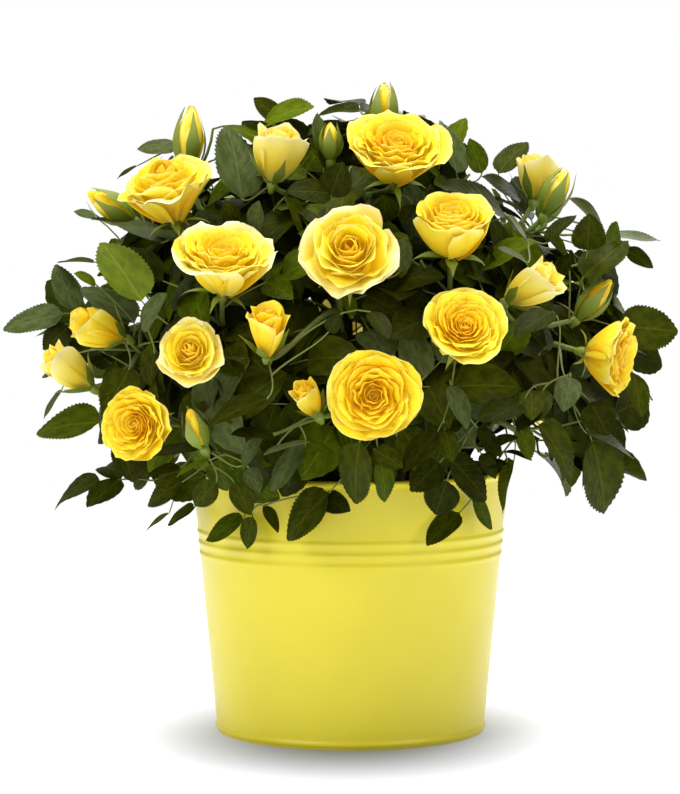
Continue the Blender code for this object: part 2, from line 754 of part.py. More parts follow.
    def add_leaf(self, mass, root, aim, up, size, outline, under_dome=True):
        """A leaf, if it has room. Returns whether it was laid."""
        leaf = leaf_shape(root, aim, up, size, outline)
        guard = leaf_shape(root, aim, up, size, outline, CLEAR)
        fits = self.in_space(leaf, mass, under_dome)
        fits = fits and not self.placed.meets(leaf, mass, {"twig"})
        fits = fits and not self.placed.meets(guard, mass, {"twig"})
        guard.free()
        if fits:
            self.add_piece(leaf, mass, "leaf")
        else:
            leaf.free()
        return fits

    def add_tip_leaves(self):
        """The leaves of the outline, each turned a little more at each try until it has room."""
        for tip in self.tips:
            rng = random.Random(f"tip {tip.place.x:.4f} {tip.place.z:.4f}")
            for attempt in range(TIP_TRIES):
                facing = (tip.facing + scatter(rng) * attempt * TIP_TURN).normalized()
                if any(self.add_tip_leaf(tip, facing, outline) for outline in LEAF_OUTLINES):
                    break
            else:
                print(f"no leaf for the tip at {tuple(round(v, 3) for v in tip.place)}")

    def add_tip_leaf(self, tip, facing, outline):
        """One leaf of the outline, on a stalk from a shoot. Returns whether it was laid."""
        size = tip.length / BLADE_LENGTH[outline]
        root = tip.place - facing * (LEAF_REACH[outline] * size - LEAF_ROOT)
        up = (tip.up - facing * tip.up.dot(facing)).normalized()
        joints = []
        for points, bears_bloom in self.stems[tip.mass]:
            length = length_of(points) - (BARE_END if bears_bloom else 0)
            for step in range(1, TIP_JOINTS):
                place, direction = place_on(points, length * step / TIP_JOINTS)
                joints.append(((place - root).length, tuple(place), direction))
        joints.sort(key=lambda joint: joint[:2])
        for _, place, direction in joints[:TIP_JOINTS]:
            place = Vector(place)
            end = root + facing * STALK_OVERLAP
            leave = (end - place).normalized() + direction
            stalk = curved(place, leave, end, facing, STALK_POINTS)
            guard = tube(stalk[1:], [STALK_RADIUS + CLEAR] * (STALK_POINTS - 1), STEM_SIDES)
            blocked = self.placed.meets(guard, tip.mass, {"twig"})
            guard.free()
            if blocked:
                continue
            if not self.add_leaf(tip.mass, root, facing, up, size, outline, False):
                return False
            stem = tube(stalk, [STALK_RADIUS] * STALK_POINTS, STEM_SIDES)
            self.add_piece(stem, tip.mass, "twig")
            return True
        return False

    def add_filling_leaves(self):
        """Leaves along the shoots of each mass, the outermost first, until it has enough."""
        for mass, stems in self.stems.items():
            rng = random.Random(f"leaves {mass}")
            spots = []
            for points, bears_bloom in stems:
                turn = rng.uniform(0, 2 * math.pi)
                length = length_of(points)
                back = BARE_END if bears_bloom else 0
                while length - back > FIRST_LEAF:
                    spots.append((back, tuple(points[-1]), points, length - back, turn))
                    turn += GOLDEN
                    back += rng.uniform(*LEAF_STEPS)
            spots.sort(key=lambda spot: spot[:2])
            laid = 0
            for _, _, points, distance, turn in spots:
                if laid < MOST_LEAVES:
                    laid += self.add_filling_leaf(mass, points, distance, turn, rng)

    def add_filling_leaf(self, mass, points, distance, turn, rng):
        """One leaf, turned on round its shoot until it has room. Returns whether it was laid."""
        place, direction = place_on(points, distance)
        out = (place - CROWN_CENTRE).normalized()
        size = rng.uniform(*LEAF_SIZES)
        for outline in LEAF_OUTLINES:
            for attempt in range(LEAF_TRIES):
                side = direction.orthogonal().normalized()
                side.rotate(Matrix.Rotation(turn + attempt * GOLDEN, 3, direction))
                aim = side + direction * rng.uniform(*LEAF_FORWARD)
                aim = (aim + out * rng.uniform(*LEAF_OUTWARD)).normalized()
                up = UP * LEAF_UP + out
                up = (up - aim * up.dot(aim)).normalized()
                if self.add_leaf(mass, place, aim, up, size, outline):
                    return True
        return False


def keep_one_body(mesh):
    """Drops loose scraps and fills sealed hollows: only the largest closed skin stays."""
    shape = bmesh.new()
    shape.from_mesh(mesh)
    left = set(shape.faces)
    skins = []
    while left:
        skin = set()
        front = [left.pop()]
        while front:
            face = front.pop()
            skin.add(face)
            for edge in face.edges:
                for other in edge.link_faces:
                    if other in left:
                        left.remove(other)
                        front.append(other)
        skins.append(skin)
    skins.sort(key=len)
    scraps = [face for skin in skins[:-1] for face in skin]
    bmesh.ops.delete(shape, geom=scraps, context="FACES")
    shape.to_mesh(mesh)
    shape.free()
    return len(skins) - 1


def fused(name, shapes, materials, collection):
    """One body from many pieces: a Boolean union of the first with a collection of the rest."""
    loose = bpy.data.collections.new(f"{name}_pieces")
    bpy.context.scene.collection.children.link(loose)
    objects = []
    for index, shape in enumerate(shapes):
        mesh = bpy.data.meshes.new(f"{name}_{index}")
        shape.to_mesh(mesh)
        shape.free()
        for material in materials:
            mesh.materials.append(material)
        objects.append(add_object(mesh.name, mesh, loose if index else collection))
    whole = objects[0]
    union = whole.modifiers.new("Fuse", "BOOLEAN")
    union.operation = "UNION"
    union.operand_type = "COLLECTION"
    union.collection = loose
    union.solver = "MANIFOLD"
    bpy.context.view_layer.update()
    graph = bpy.context.evaluated_depsgraph_get()
    mesh = bpy.data.meshes.new_from_object(whole.evaluated_get(graph))
    for obj in objects:
        bpy.data.meshes.remove(obj.data)
    bpy.data.collections.remove(loose)
    scraps = keep_one_body(mesh)
    print(f"{name}: {len(shapes)} pieces, {scraps} scraps dropped")
    mesh.name = name
    return add_object(name, mesh, collection)


def main():
    """Builds the pot, the soil, the limbs and the masses."""
    for obj in list(bpy.data.objects):
        bpy.data.objects.remove(obj)
    rose = bpy.data.collections.new("potted_rose")
    bpy.context.scene.collection.children.link(rose)
    materials = {name: make_material(name) for name in COLOURS}

    pot = turned("pot", pot_profile(), rose, materials["pot"])
    soil = turned("soil", soil_profile(), rose, materials["soil"])

    blooms = make_blooms()
    crown = Crown(blooms, make_tips(), make_leafy_ends(blooms))
    bpy.context.view_layer.update()
    graph = bpy.context.evaluated_depsgraph_get()
    for obj in (pot, soil):
        shape = bmesh.new()
        shape.from_mesh(obj.evaluated_get(graph).data)
        crown.keep(shape, obj.name, "limb")
    crown.add_limbs()
    crown.add_blooms()
    crown.add_stems()
    crown.add_tip_leaves()
    crown.add_filling_leaves()

    for name, points, radii, resolution in crown.limbs:
        limb(name, points, radii, resolution, rose, materials["bark"])
    mass_materials = [materials[name] for name in ("twig", "leaf", "petal")]
    for mass, shapes in crown.pieces.items():
        fused(f"foliage_{mass}", shapes, mass_materials, rose)


main()
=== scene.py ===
"""Looks of the potted rose: painted pot, soil, bark, twigs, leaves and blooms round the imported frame.

Metres, +Z up. The origin is the middle of the pot's flat underside, and the front of the plant
faces -Y. The crown grows by the rule of the solids: canes rise from the soil, boughs leave the
canes, and shoots leave the boughs for the blooms and leafy ends of each mass.
"""

import logging
import math
import random
from collections.abc import Sequence
from dataclasses import dataclass, field, replace
from enum import Enum
from itertools import product
from typing import ClassVar

import bmesh
import bpy
import numpy as np
from mathutils import Matrix, Vector, noise
from mathutils.geometry import interpolate_bezier


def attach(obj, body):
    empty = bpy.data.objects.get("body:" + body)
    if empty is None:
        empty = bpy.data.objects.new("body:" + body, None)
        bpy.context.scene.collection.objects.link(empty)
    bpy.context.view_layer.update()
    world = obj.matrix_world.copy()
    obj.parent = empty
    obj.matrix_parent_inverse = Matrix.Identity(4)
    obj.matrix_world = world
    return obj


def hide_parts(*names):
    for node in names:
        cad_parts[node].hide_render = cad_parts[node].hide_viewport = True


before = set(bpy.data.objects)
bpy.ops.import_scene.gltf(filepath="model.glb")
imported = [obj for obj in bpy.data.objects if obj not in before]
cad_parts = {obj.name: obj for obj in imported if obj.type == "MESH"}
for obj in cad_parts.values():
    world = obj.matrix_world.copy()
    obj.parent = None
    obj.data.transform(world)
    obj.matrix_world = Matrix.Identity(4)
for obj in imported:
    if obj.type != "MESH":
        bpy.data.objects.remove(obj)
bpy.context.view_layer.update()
LOG = logging.getLogger("potted_rose")

# Types: a range or a place on a plane, three numbers, a colour of a photograph, a shader's colour
Pair = tuple[float, float]
Triple = tuple[float, float, float]
Colour = tuple[int, int, int]
Shade = tuple[float, float, float, float]
Stops = tuple[tuple[float, Colour], ...]
Socket = bpy.types.NodeSocket

MM = 0.001
UP = Vector((0, 0, 1))
GOLDEN = math.radians(137.508)
MERGE_DISTANCE = 1e-6

# The view of the photograph: its eye, the place it looks at, and the lens on a 36 mm sensor
EYE = Vector((0, -1.6, 0.274))
LOOK_AT = Vector((-0.0058, 0, 0.1831))
LENS = 132
SENSOR = 36

# Canes: foot and tip in millimetres, and the masses whose boughs they carry, the last on the tip
CANES: dict[str, tuple[tuple, tuple, tuple]] = {
    "front": ((-2, -26), (2, -50, 198), ("front_low", "front_mid")),
    "left": ((-26, -6), (-58, -22, 200), ("left_low", "left_front", "left")),
    "right": ((26, -8), (60, -28, 200), ("right_low", "right_front", "right")),
    "centre": ((0, 2), (-2, -2, 238), ("right_top", "left_top", "top")),
    "back_left": ((-16, 22), (-34, 48, 205), ("back_left", "back_mid", "back_left_top")),
    "back_right": ((18, 20), (36, 50, 205), ("back_low", "back_right", "back_right_top")),
}

# The heart of each mass, in millimetres
HEARTS: dict[str, Triple] = {
    "front_low": (5, -95, 190),
    "front_mid": (-10, -95, 245),
    "left_front": (-72, -90, 232),
    "left_low": (-92, -80, 168),
    "left": (-130, -35, 208),
    "left_top": (-92, -35, 285),
    "top": (0, -25, 312),
    "right_front": (52, -90, 245),
    "right_low": (92, -65, 168),
    "right": (120, -45, 215),
    "right_top": (90, 0, 278),
    "back_right": (98, 75, 205),
    "back_low": (10, 110, 185),
    "back_left": (-90, 80, 205),
    "back_mid": (2, 92, 246),
    "back_left_top": (-56, 60, 274),
    "back_right_top": (62, 68, 264),
}

# The crown: blooms lie on an inner dome, and leaves stay within an outer one
CROWN_CENTRE = Vector((0, 0, 0.200))
BLOOM_DOME = Vector((0.150, 0.135, 0.130))
LEAF_DOME = Vector((0.178, 0.166, 0.150))
LEAF_DOME_BELOW = 0.100


class Form(Enum):
    """How far a bloom has opened."""

    OPEN = "open"
    LOOSE = "loose"
    CUP = "cup"
    FLARED = "flared"
    HALF = "half"
    BUD = "bud"


class PetalTint(Enum):
    """The petal colours, from the warmest to the palest."""

    AMBER = 0
    GOLD = 1
    LEMON = 2
    CREAM = 3


class LeafTint(Enum):
    """The leaf colours, from the oldest to the youngest, and a grey-green of some old ones that is partly
    their own waxy bloom and partly a painted sheen.
    """

    DARK = 0
    OLIVE = 1
    GREEN = 2
    FRESH = 3
    GREY = 4


# Blooms seen from the front: mass, form, right, up, depth and size across in millimetres,
# the way the bloom faces, and its warmth from 0, pale, to 1, deep gold
FRONT_BLOOMS = (
    ("left_top", Form.LOOSE, -100, 294, -64, 59, (-0.22, -0.38, 0.90), 0.42),
    ("left_top", Form.BUD, -88, 325, -28, 21, (0.05, -0.05, 1.00), 0.20),
    ("left_top", Form.BUD, -132, 288, -30, 17, (-0.80, -0.30, 0.50), 0.50),
    ("left_front", Form.OPEN, -70, 254, -112, 62, (0.05, -0.48, 0.88), 0.45),
    ("left_front", Form.LOOSE, -87, 207, -122, 44, (-0.15, -0.92, 0.35), 0.34),
    ("front_mid", Form.LOOSE, 0, 260, -126, 62, (-0.05, -0.88, 0.46), 0.28),
    ("front_mid", Form.HALF, -46, 219, -130, 28, (0.00, -0.50, 0.87), 0.60),
    ("top", Form.OPEN, 25, 314, -72, 60, (0.05, -0.60, 0.80), 0.62),
    ("top", Form.FLARED, -40, 316, -62, 38, (0.18, -0.25, 0.95), 0.02),
    ("top", Form.BUD, 18, 342, -36, 16, (0.03, 0.00, 1.00), 0.12),
    ("top", Form.BUD, -11, 324, -42, 12, (0.00, -0.10, 1.00), 0.50),
    ("right_front", Form.CUP, 56, 274, -108, 51, (0.05, -0.50, 0.86), 0.60),
    ("right_front", Form.OPEN, 62, 219, -132, 50, (0.10, -0.82, 0.45), 0.72),
    ("front_low", Form.OPEN, 12, 184, -146, 57, (0.05, -1.00, 0.02), 0.86),
    ("front_low", Form.HALF, -23, 182, -130, 20, (-0.40, -0.50, 0.77), 0.70),
    ("left_low", Form.OPEN, -116, 168, -95, 45, (-0.40, -0.88, 0.00), 0.88),
    ("left_low", Form.BUD, -85, 166, -112, 14, (-0.32, -0.35, 0.88), 0.60),
    ("left", Form.HALF, -139, 221, -62, 28, (-0.85, -0.35, 0.35), 0.70),
    ("left", Form.HALF, -155, 198, -42, 28, (-0.75, -0.25, 0.60), 0.25),
    ("right", Form.HALF, 100, 244, -92, 29, (0.82, -0.25, 0.50), 0.12),
    ("right", Form.OPEN, 141, 206, -72, 48, (0.90, -0.30, -0.12), 0.75),
    ("right", Form.BUD, 134, 237, -50, 16, (0.65, -0.10, 0.75), 0.80),
    ("right_top", Form.FLARED, 102, 304, 15, 31, (0.15, 0.05, 0.98), 0.02),
    ("right_top", Form.BUD, 113, 296, -10, 16, (0.45, -0.05, 0.89), 0.15),
    ("right_top", Form.BUD, 109, 290, 40, 14, (0.30, 0.40, 0.87), 0.45),
)

DARK, OLIVE, GREEN, FRESH, GREY = LeafTint

# Leaves that stand out in front: right and up of the root, right and up of the tip and the width
# in millimetres, as the eye sees them in the plane of the axis, and the colour
SHOWN_LEAVES = (
    (-158, 229, -191, 220, 17, GREY), (-152, 231, -162, 256, 15, GREY), (-141, 257, -161, 257, 5, OLIVE),
    (-115, 236, -137, 268, 25, FRESH), (-119, 224, -148, 243, 18, GREY), (-115, 221, -101, 240, 13, GREY),
    (-108, 207, -110, 189, 10, DARK), (-104, 268, -142, 281, 14, GREY), (-140, 282, -152, 285, 6, GREY),
    (-140, 245, -152, 251, 7, FRESH), (-155, 222, -169, 209, 15, DARK), (-138, 169, -173, 163, 21, GREEN),
    (-122, 198, -136, 173, 19, OLIVE), (-127, 160, -120, 136, 15, DARK), (-159, 187, -169, 171, 5, GREY),
    (-106, 273, -90, 268, 8, GREY), (-60, 292, -68, 332, 24, GREY), (-95, 320, -117, 319, 11, GREY),
    (-117, 310, -128, 303, 4, DARK), (-39, 336, -53, 347, 11, OLIVE), (-47, 334, -20, 342, 16, FRESH),
    (-15, 309, -18, 339, 12, GREEN), (-11, 293, -4, 312, 18, DARK), (-79, 275, -83, 286, 13, GREY),
    (-64, 279, -69, 291, 11, OLIVE), (-53, 275, -50, 291, 10, GREY), (20, 279, 18, 294, 14, GREEN),
    (3, 331, 16, 340, 8, GREEN), (58, 306, 49, 335, 14, GREY), (72, 306, 65, 325, 12, GREEN),
    (81, 306, 97, 323, 14, OLIVE), (84, 284, 50, 300, 18, DARK), (93, 292, 72, 304, 12, DARK),
    (106, 296, 93, 297, 8, GREY), (97, 269, 86, 283, 6, GREY), (97, 257, 81, 265, 7, GREY),
    (138, 278, 120, 292, 11, OLIVE), (130, 264, 131, 284, 19, OLIVE), (141, 272, 170, 269, 9, GREY),
    (151, 264, 166, 254, 10, OLIVE), (128, 249, 152, 269, 19, OLIVE), (147, 222, 180, 219, 25, OLIVE),
    (155, 197, 160, 172, 14, OLIVE), (121, 190, 148, 171, 14, DARK), (121, 194, 139, 204, 12, GREY),
    (121, 194, 117, 175, 15, GREY), (132, 180, 142, 162, 20, DARK), (130, 163, 156, 149, 10, GREY),
    (133, 159, 140, 119, 26, OLIVE), (104, 168, 122, 137, 18, OLIVE), (93, 167, 99, 148, 11, GREEN),
    (106, 187, 104, 170, 12, OLIVE), (-46, 182, -78, 167, 14, DARK), (-43, 163, -66, 162, 9, DARK),
    (-60, 145, -48, 160, 10, GREY), (-56, 144, -50, 130, 10, GREY), (-25, 156, -44, 131, 14, GREY),
    (-23, 158, -48, 151, 6, GREY), (-23, 158, -9, 150, 7, OLIVE), (-83, 155, -110, 151, 9, GREY),
    (-78, 148, -96, 139, 5, FRESH), (-93, 136, -112, 123, 14, OLIVE), (-94, 144, -112, 139, 7, OLIVE),
    (-74, 136, -86, 123, 14, OLIVE), (-64, 136, -55, 118, 13, OLIVE), (-86, 122, -101, 112, 8, GREEN),
    (-100, 119, -113, 109, 4, FRESH), (-59, 115, -80, 104, 13, GREEN), (-54, 117, -57, 99, 10, OLIVE),
    (-48, 123, -40, 108, 7, OLIVE), (-12, 130, -35, 104, 20, OLIVE), (-16, 128, 0, 120, 13, DARK),
    (5, 158, 3, 124, 19, OLIVE), (16, 149, 19, 125, 12, GREEN), (13, 154, 29, 144, 13, OLIVE),
    (48, 164, 29, 141, 14, DARK), (52, 165, 56, 147, 12, OLIVE), (55, 190, 64, 165, 12, GREY),
    (49, 147, 33, 131, 18, DARK), (53, 137, 47, 118, 20, DARK), (55, 149, 75, 126, 19, DARK),
    (60, 119, 42, 101, 14, OLIVE), (67, 126, 78, 110, 10, GREEN), (90, 148, 84, 119, 6, GREEN),
    (85, 178, 70, 171, 13, DARK), (-28, 260, -46, 271, 11, DARK), (-11, 295, -35, 296, 16, DARK),
    (27, 252, 29, 271, 12, GREY), (34, 289, 28, 278, 8, DARK), (-12, 219, -6, 229, 9, DARK),
    (-2, 241, 0, 226, 8, GREEN), (11, 230, 21, 215, 11, DARK), (111, 230, 90, 216, 15, DARK),
    (99, 187, 100, 170, 14, OLIVE), (85, 153, 100, 148, 5, DARK), (86, 147, 71, 144, 7, DARK),
    (91, 162, 74, 153, 8, OLIVE), (70, 166, 83, 150, 10, DARK), (94, 180, 76, 170, 14, DARK),
    (104, 178, 92, 164, 11, DARK), (72, 152, 80, 138, 9, DARK), (108, 268, 124, 283, 9, DARK),
    (118, 262, 106, 274, 9, OLIVE), (112, 248, 122, 262, 10, DARK),
)

# The ways that leaves turn their upper sides: those that stand out in front, and those at the sides
SHOWN_FACING = Vector((0, -1, 0.25))
TO_FRONT = Vector((0, -0.9, 0.6))

# Gaps in the crown through which the background shows: right, up and radius in millimetres,
# as the eye sees them in the plane of the axis
SIGHT_GAPS = (
    (-155, 182, 8), (-82, 310, 8), (120, 270, 7), (-152, 254, 5), (89, 158, 5), (-118, 232, 4),
    (72, 306, 4), (-2, 224, 3), (-8, 233, 2), (100, 166, 3), (-142, 178, 4), (118, 285, 5),
    (155, 240, 8), (97, 140, 6),
)


def linear(red: int, green: int, blue: int) -> Shade:
    """Turns a colour as it looks in a photograph into the shader's own scale.

    Args:
        red: The red of the colour, 0 to 255.
        green: The green of the colour, 0 to 255.
        blue: The blue of the colour, 0 to 255.

    Returns:
        The same colour with linear parts and full cover.
    """
    parts = [value / 255 for value in (red, green, blue)]
    toe, slope, offset, power = 0.04045, 12.92, 0.055, 2.4
    made = [v / slope if v <= toe else ((v + offset) / (1 + offset)) ** power for v in parts]
    return (*made, 1.0)


def scatter(rng: random.Random) -> Vector:
    """Makes a vector that points any way, each part of it between -1 and 1."""
    return Vector(rng.uniform(-1, 1) for _ in range(3))


def rows_of(points: Sequence[Vector]) -> np.ndarray:
    """Makes an array of points, one row each."""
    return np.array([tuple(point) for point in points])


def square_to(axis: Vector, way: Vector) -> Vector:
    """Turns a way until it is square to an axis."""
    return (way - axis * way.dot(axis)).normalized()


def side_of(axis: Vector, turn: float) -> Vector:
    """Finds the way straight out from an axis, at a turn round it.

    Args:
        axis: The axis.
        turn: The turn, in radians.

    Returns:
        The way, square to the axis.
    """
    side = axis.orthogonal().normalized()
    side.rotate(Matrix.Rotation(turn, 3, axis))
    return side


def curved(start: Vector, leave: Vector, end: Vector, arrive: Vector, count: int) -> list[Vector]:
    """Makes a smooth curve that leaves and arrives along the given directions.

    Args:
        start: The first point.
        leave: The direction at the first point.
        end: The last point.
        arrive: The direction at the last point.
        count: How many points the curve has.

    Returns:
        The points along the curve.
    """
    reach = (end - start).length / 3
    return interpolate_bezier(
        start, start + leave.normalized() * reach, end - arrive.normalized() * reach, end, count
    )


def tapered(first: float, last: float, count: int) -> list[float]:
    """Makes radii that fall evenly from the first to the last."""
    return [first + (last - first) * index / (count - 1) for index in range(count)]


def place_on(points: list[Vector], distance: float) -> tuple[Vector, Vector]:
    """Finds the place and the direction at a distance along a line of points.

    Args:
        points: The line.
        distance: How far along it.

    Returns:
        The place, and the direction of the line there.
    """
    for start, end in zip(points, points[1:]):
        length = (end - start).length
        if distance <= length:
            return start.lerp(end, distance / length), (end - start).normalized()
        distance -= length
    return points[-1].copy(), (points[-1] - points[-2]).normalized()


def length_of(points: list[Vector]) -> float:
    """Measures a line of points."""
    return sum((end - start).length for start, end in zip(points, points[1:]))


def apart(points: np.ndarray, starts: np.ndarray, lines: np.ndarray) -> np.ndarray:
    """Measures how far points are from straight lines, each point from each line.

    Args:
        points: The points, one row each, with one column or one for each line.
        starts: Where the lines start.
        lines: How far the lines go each way.

    Returns:
        The distances, one row for each point.
    """
    share = ((points - starts) * lines).sum(2) / np.maximum((lines ** 2).sum(1), MERGE_DISTANCE ** 2)
    nearest = starts + lines * np.clip(share, 0, 1)[..., None]
    return np.linalg.norm(points - nearest, axis=2)


def in_depth(right: float, up: float, depth: float) -> tuple[Vector, float]:
    """Finds what the eye sees at a place in the plane of the axis, at another depth.

    Args:
        right: How far right of the axis, in millimetres.
        up: How far above the underside, in millimetres.
        depth: How far behind the plane of the axis, in millimetres.

    Returns:
        The place in metres, and how many times as long a length there has to be to look the same.
    """
    seen = Vector((right, 0, up)) * MM
    share = (depth * MM - EYE.y) / -EYE.y
    return EYE + (seen - EYE) * share, share


@dataclass(frozen=True)
class Cell:
    """One cell of a colour sheet that all the blades or tubes of a piece share.

    It has a column for each tint, and row 0 for the upper skin and 1 for the under skin.
    """

    column: int
    columns: int
    row: int
    rows: int

    HALF_ACROSS: ClassVar[float] = 0.46
    FROM: ClassVar[float] = 0.04
    LONG: ClassVar[float] = 0.92

    def spread(self, across: np.ndarray, along: np.ndarray) -> np.ndarray:
        """Lays places on a blade into the cell.

        Args:
            across: Places across the blade, -1 to 1.
            along: Places along the blade, 0 to 1.

        Returns:
            The places on the sheet, one row each.
        """
        right = (self.column + 0.5 + self.HALF_ACROSS * across) / self.columns
        up = (self.row + self.FROM + self.LONG * along) / self.rows
        return np.stack([right, up], axis=1)


class Shading:
    """A material with its nodes, written in short calls."""

    def __init__(self, name: str, roughness: float, specular: float = 0.5) -> None:
        """Starts a Principled material.

        Args:
            name: The material's name.
            roughness: The roughness of the whole surface.
            specular: The specular level of the whole surface.
        """
        self.material = bpy.data.materials.new(name)
        self.material.use_nodes = True
        self.tree = self.material.node_tree
        self.shader = self.tree.nodes["Principled BSDF"]
        self.shader.inputs["Roughness"].default_value = roughness
        self.shader.inputs["Specular IOR Level"].default_value = specular

    def node(self, kind: str, **values: object) -> bpy.types.Node:
        """Adds a node and sets its properties.

        Args:
            kind: The node's type.
            values: Its properties.

        Returns:
            The node.
        """
        made = self.tree.nodes.new(kind)
        for name, value in values.items():
            setattr(made, name, value)
        return made

    def feed(self, socket: Socket, value: object) -> None:
        """Links a socket to an input, or sets the input to a plain value.

        Args:
            socket: The input.
            value: The socket or value.
        """
        if isinstance(value, Socket):
            self.tree.links.new(value, socket)
        else:
            socket.default_value = value

    def math(self, operation: str, first: object, second: object = 0.0) -> Socket:
        """Does one sum on sockets or numbers.

        Args:
            operation: The Math node's operation.
            first: Its first input.
            second: Its second input.

        Returns:
            The result's socket.
        """
        made = self.node("ShaderNodeMath", operation=operation)
        self.feed(made.inputs[0], first)
        self.feed(made.inputs[1], second)
        return made.outputs[0]

    def fade(self, value: object, start: float, end: float) -> Socket:
        """Falls smoothly from 1 to 0 as a value goes from start to end.

        Args:
            value: The value.
            start: Where it is 1.
            end: Where it is 0.

        Returns:
            The result.
        """
        made = self.node("ShaderNodeMapRange", interpolation_type="SMOOTHSTEP")
        self.feed(made.inputs["Value"], value)
        for name, number in (("From Min", start), ("From Max", end), ("To Min", 1), ("To Max", 0)):
            made.inputs[name].default_value = number
        return made.outputs[0]

    def mix(self, share: object, first: object, second: object) -> Socket:
        """Mixes two colours.

        Args:
            share: How much of the second colour shows.
            first: The first colour.
            second: The second colour.

        Returns:
            The mixed colour's socket.
        """
        made = self.node("ShaderNodeMix", data_type="RGBA")
        self.feed(made.inputs["Factor"], share)
        self.feed(made.inputs[6], first)
        self.feed(made.inputs[7], second)
        return made.outputs[2]

    def ramp(self, value: object, stops: tuple) -> Socket:
        """Runs a value through a colour ramp.

        Args:
            value: The value.
            stops: The ramp's stops, as (place, colour).

        Returns:
            The colour's socket.
        """
        made = self.node("ShaderNodeValToRGB")
        elements = made.color_ramp.elements
        while len(elements) < len(stops):
            elements.new(0.5)
        for element, (place, colour) in zip(elements, stops):
            element.position = place
            element.color = colour
        self.feed(made.inputs[0], value)
        return made.outputs[0]

    def spots(self, vector: object, scale: float, detail: float = 2.0) -> Socket:
        """Makes a noise pattern on a vector.

        Args:
            vector: The vector.
            scale: How fine the pattern is.
            detail: How rich it is.

        Returns:
            The pattern.
        """
        made = self.node("ShaderNodeTexNoise")
        self.feed(made.inputs["Vector"], vector)
        made.inputs["Scale"].default_value = scale
        made.inputs["Detail"].default_value = detail
        return made.outputs[0]

    def relief(self, height: object, strength: float, distance: float) -> None:
        """Bumps the whole surface by a height.

        Args:
            height: The height.
            strength: How much of it shows.
            distance: How high it goes.
        """
        made = self.node("ShaderNodeBump")
        made.inputs["Strength"].default_value = strength
        made.inputs["Distance"].default_value = distance
        self.feed(made.inputs["Height"], height)
        self.feed(self.shader.inputs["Normal"], made.outputs[0])

    def shifted(self, value: object, noise_value: object, amount: float) -> Socket:
        """Shifts a value up and down by a noise pattern."""
        return self.math("ADD", value, self.math("MULTIPLY", self.math("SUBTRACT", noise_value, 0.5), amount))

    def object_place(self) -> Socket:
        """The place on the object."""
        return self.node("ShaderNodeTexCoord").outputs["Object"]

    def cell_place(self, cell: Cell) -> tuple[Socket, Socket]:
        """Finds the place on a blade from its cell of the colour sheet.

        Args:
            cell: The blade's cell.

        Returns:
            The place across, -1 to 1, and the place along, 0 to 1.
        """
        sheet = self.node("ShaderNodeUVMap", uv_map=Batch.SHEET)
        mapping = self.node("ShaderNodeMapping")
        self.feed(mapping.inputs["Vector"], sheet.outputs[0])
        mapping.inputs["Scale"].default_value = (
            cell.columns / Cell.HALF_ACROSS, cell.rows / Cell.LONG, 1
        )
        mapping.inputs["Location"].default_value = (
            -(cell.column + 0.5) / Cell.HALF_ACROSS, -(cell.row + Cell.FROM) / Cell.LONG, 0
        )
        parts = self.node("ShaderNodeSeparateXYZ")
        self.feed(parts.inputs[0], mapping.outputs[0])
        return parts.outputs[0], parts.outputs[1]

    def stretched(self, across: object, along: object, wide: float, tall: float) -> Socket:
        """Puts a place on a blade together again, stretched each way.

        Args:
            across: The place across.
            along: The place along.
            wide: The stretch across.
            tall: The stretch along.

        Returns:
            The vector.
        """
        made = self.node("ShaderNodeCombineXYZ")
        self.feed(made.inputs[0], self.math("MULTIPLY", across, wide))
        self.feed(made.inputs[1], self.math("MULTIPLY", along, tall))
        return made.outputs[0]


@dataclass(frozen=True)
class LeafFinish:
    """The skin of a leaf: a colour that clouds into a deep one, and paler veins in grooves
    between fields that bulge by the relief.
    """

    name: str
    colour: Colour
    deep: Colour
    vein: Colour
    roughness: float = 0.58
    relief: float = 0.25

    specular: float = 0.035
    midrib_edge: Pair = (0.02, 0.085)
    midrib_shown: float = 0.50
    veins: int = 7
    vein_slant: float = 0.38
    vein_width: float = 0.10
    vein_shown: float = 0.22
    cloud_size: float = 2.2
    cloud_edge: Pair = (0.62, 0.38)
    grain_size: float = 24
    grain: float = 0.25
    groove: float = -0.7

    def build(self, cell: Cell) -> bpy.types.Material:
        """Makes the material for its cell of the leaves' colour sheet.

        Args:
            cell: The cell.

        Returns:
            The material.
        """
        made = Shading(self.name, self.roughness, self.specular)
        across, along = made.cell_place(cell)
        aside = made.math("ABSOLUTE", across)
        midrib = made.fade(aside, *self.midrib_edge)
        slanted = made.math("SUBTRACT", along, made.math("MULTIPLY", aside, self.vein_slant))
        between = made.math("PINGPONG", made.math("MULTIPLY", slanted, self.veins), 0.5)
        vein = made.math("MULTIPLY", made.fade(between, 0.0, self.vein_width), made.fade(aside, 0.5, 1.0))
        clouds = made.spots(made.stretched(across, along, 1.0, self.cloud_size), self.cloud_size)
        clouded = made.mix(made.fade(clouds, *self.cloud_edge), linear(*self.colour), linear(*self.deep))
        veined = made.mix(made.math("MULTIPLY", vein, self.vein_shown), clouded, linear(*self.vein))
        ribbed = made.mix(made.math("MULTIPLY", midrib, self.midrib_shown), veined, linear(*self.vein))
        made.feed(made.shader.inputs["Base Color"], ribbed)
        spots = made.spots(made.stretched(across, along, 1, 2), self.grain_size)
        grain = made.math("MULTIPLY", spots, self.grain)
        lines = made.math("MULTIPLY", made.math("MAXIMUM", vein, midrib), self.groove)
        made.relief(made.math("ADD", grain, made.math("ADD", lines, between)), self.relief, 0.5 * MM)
        return made.material


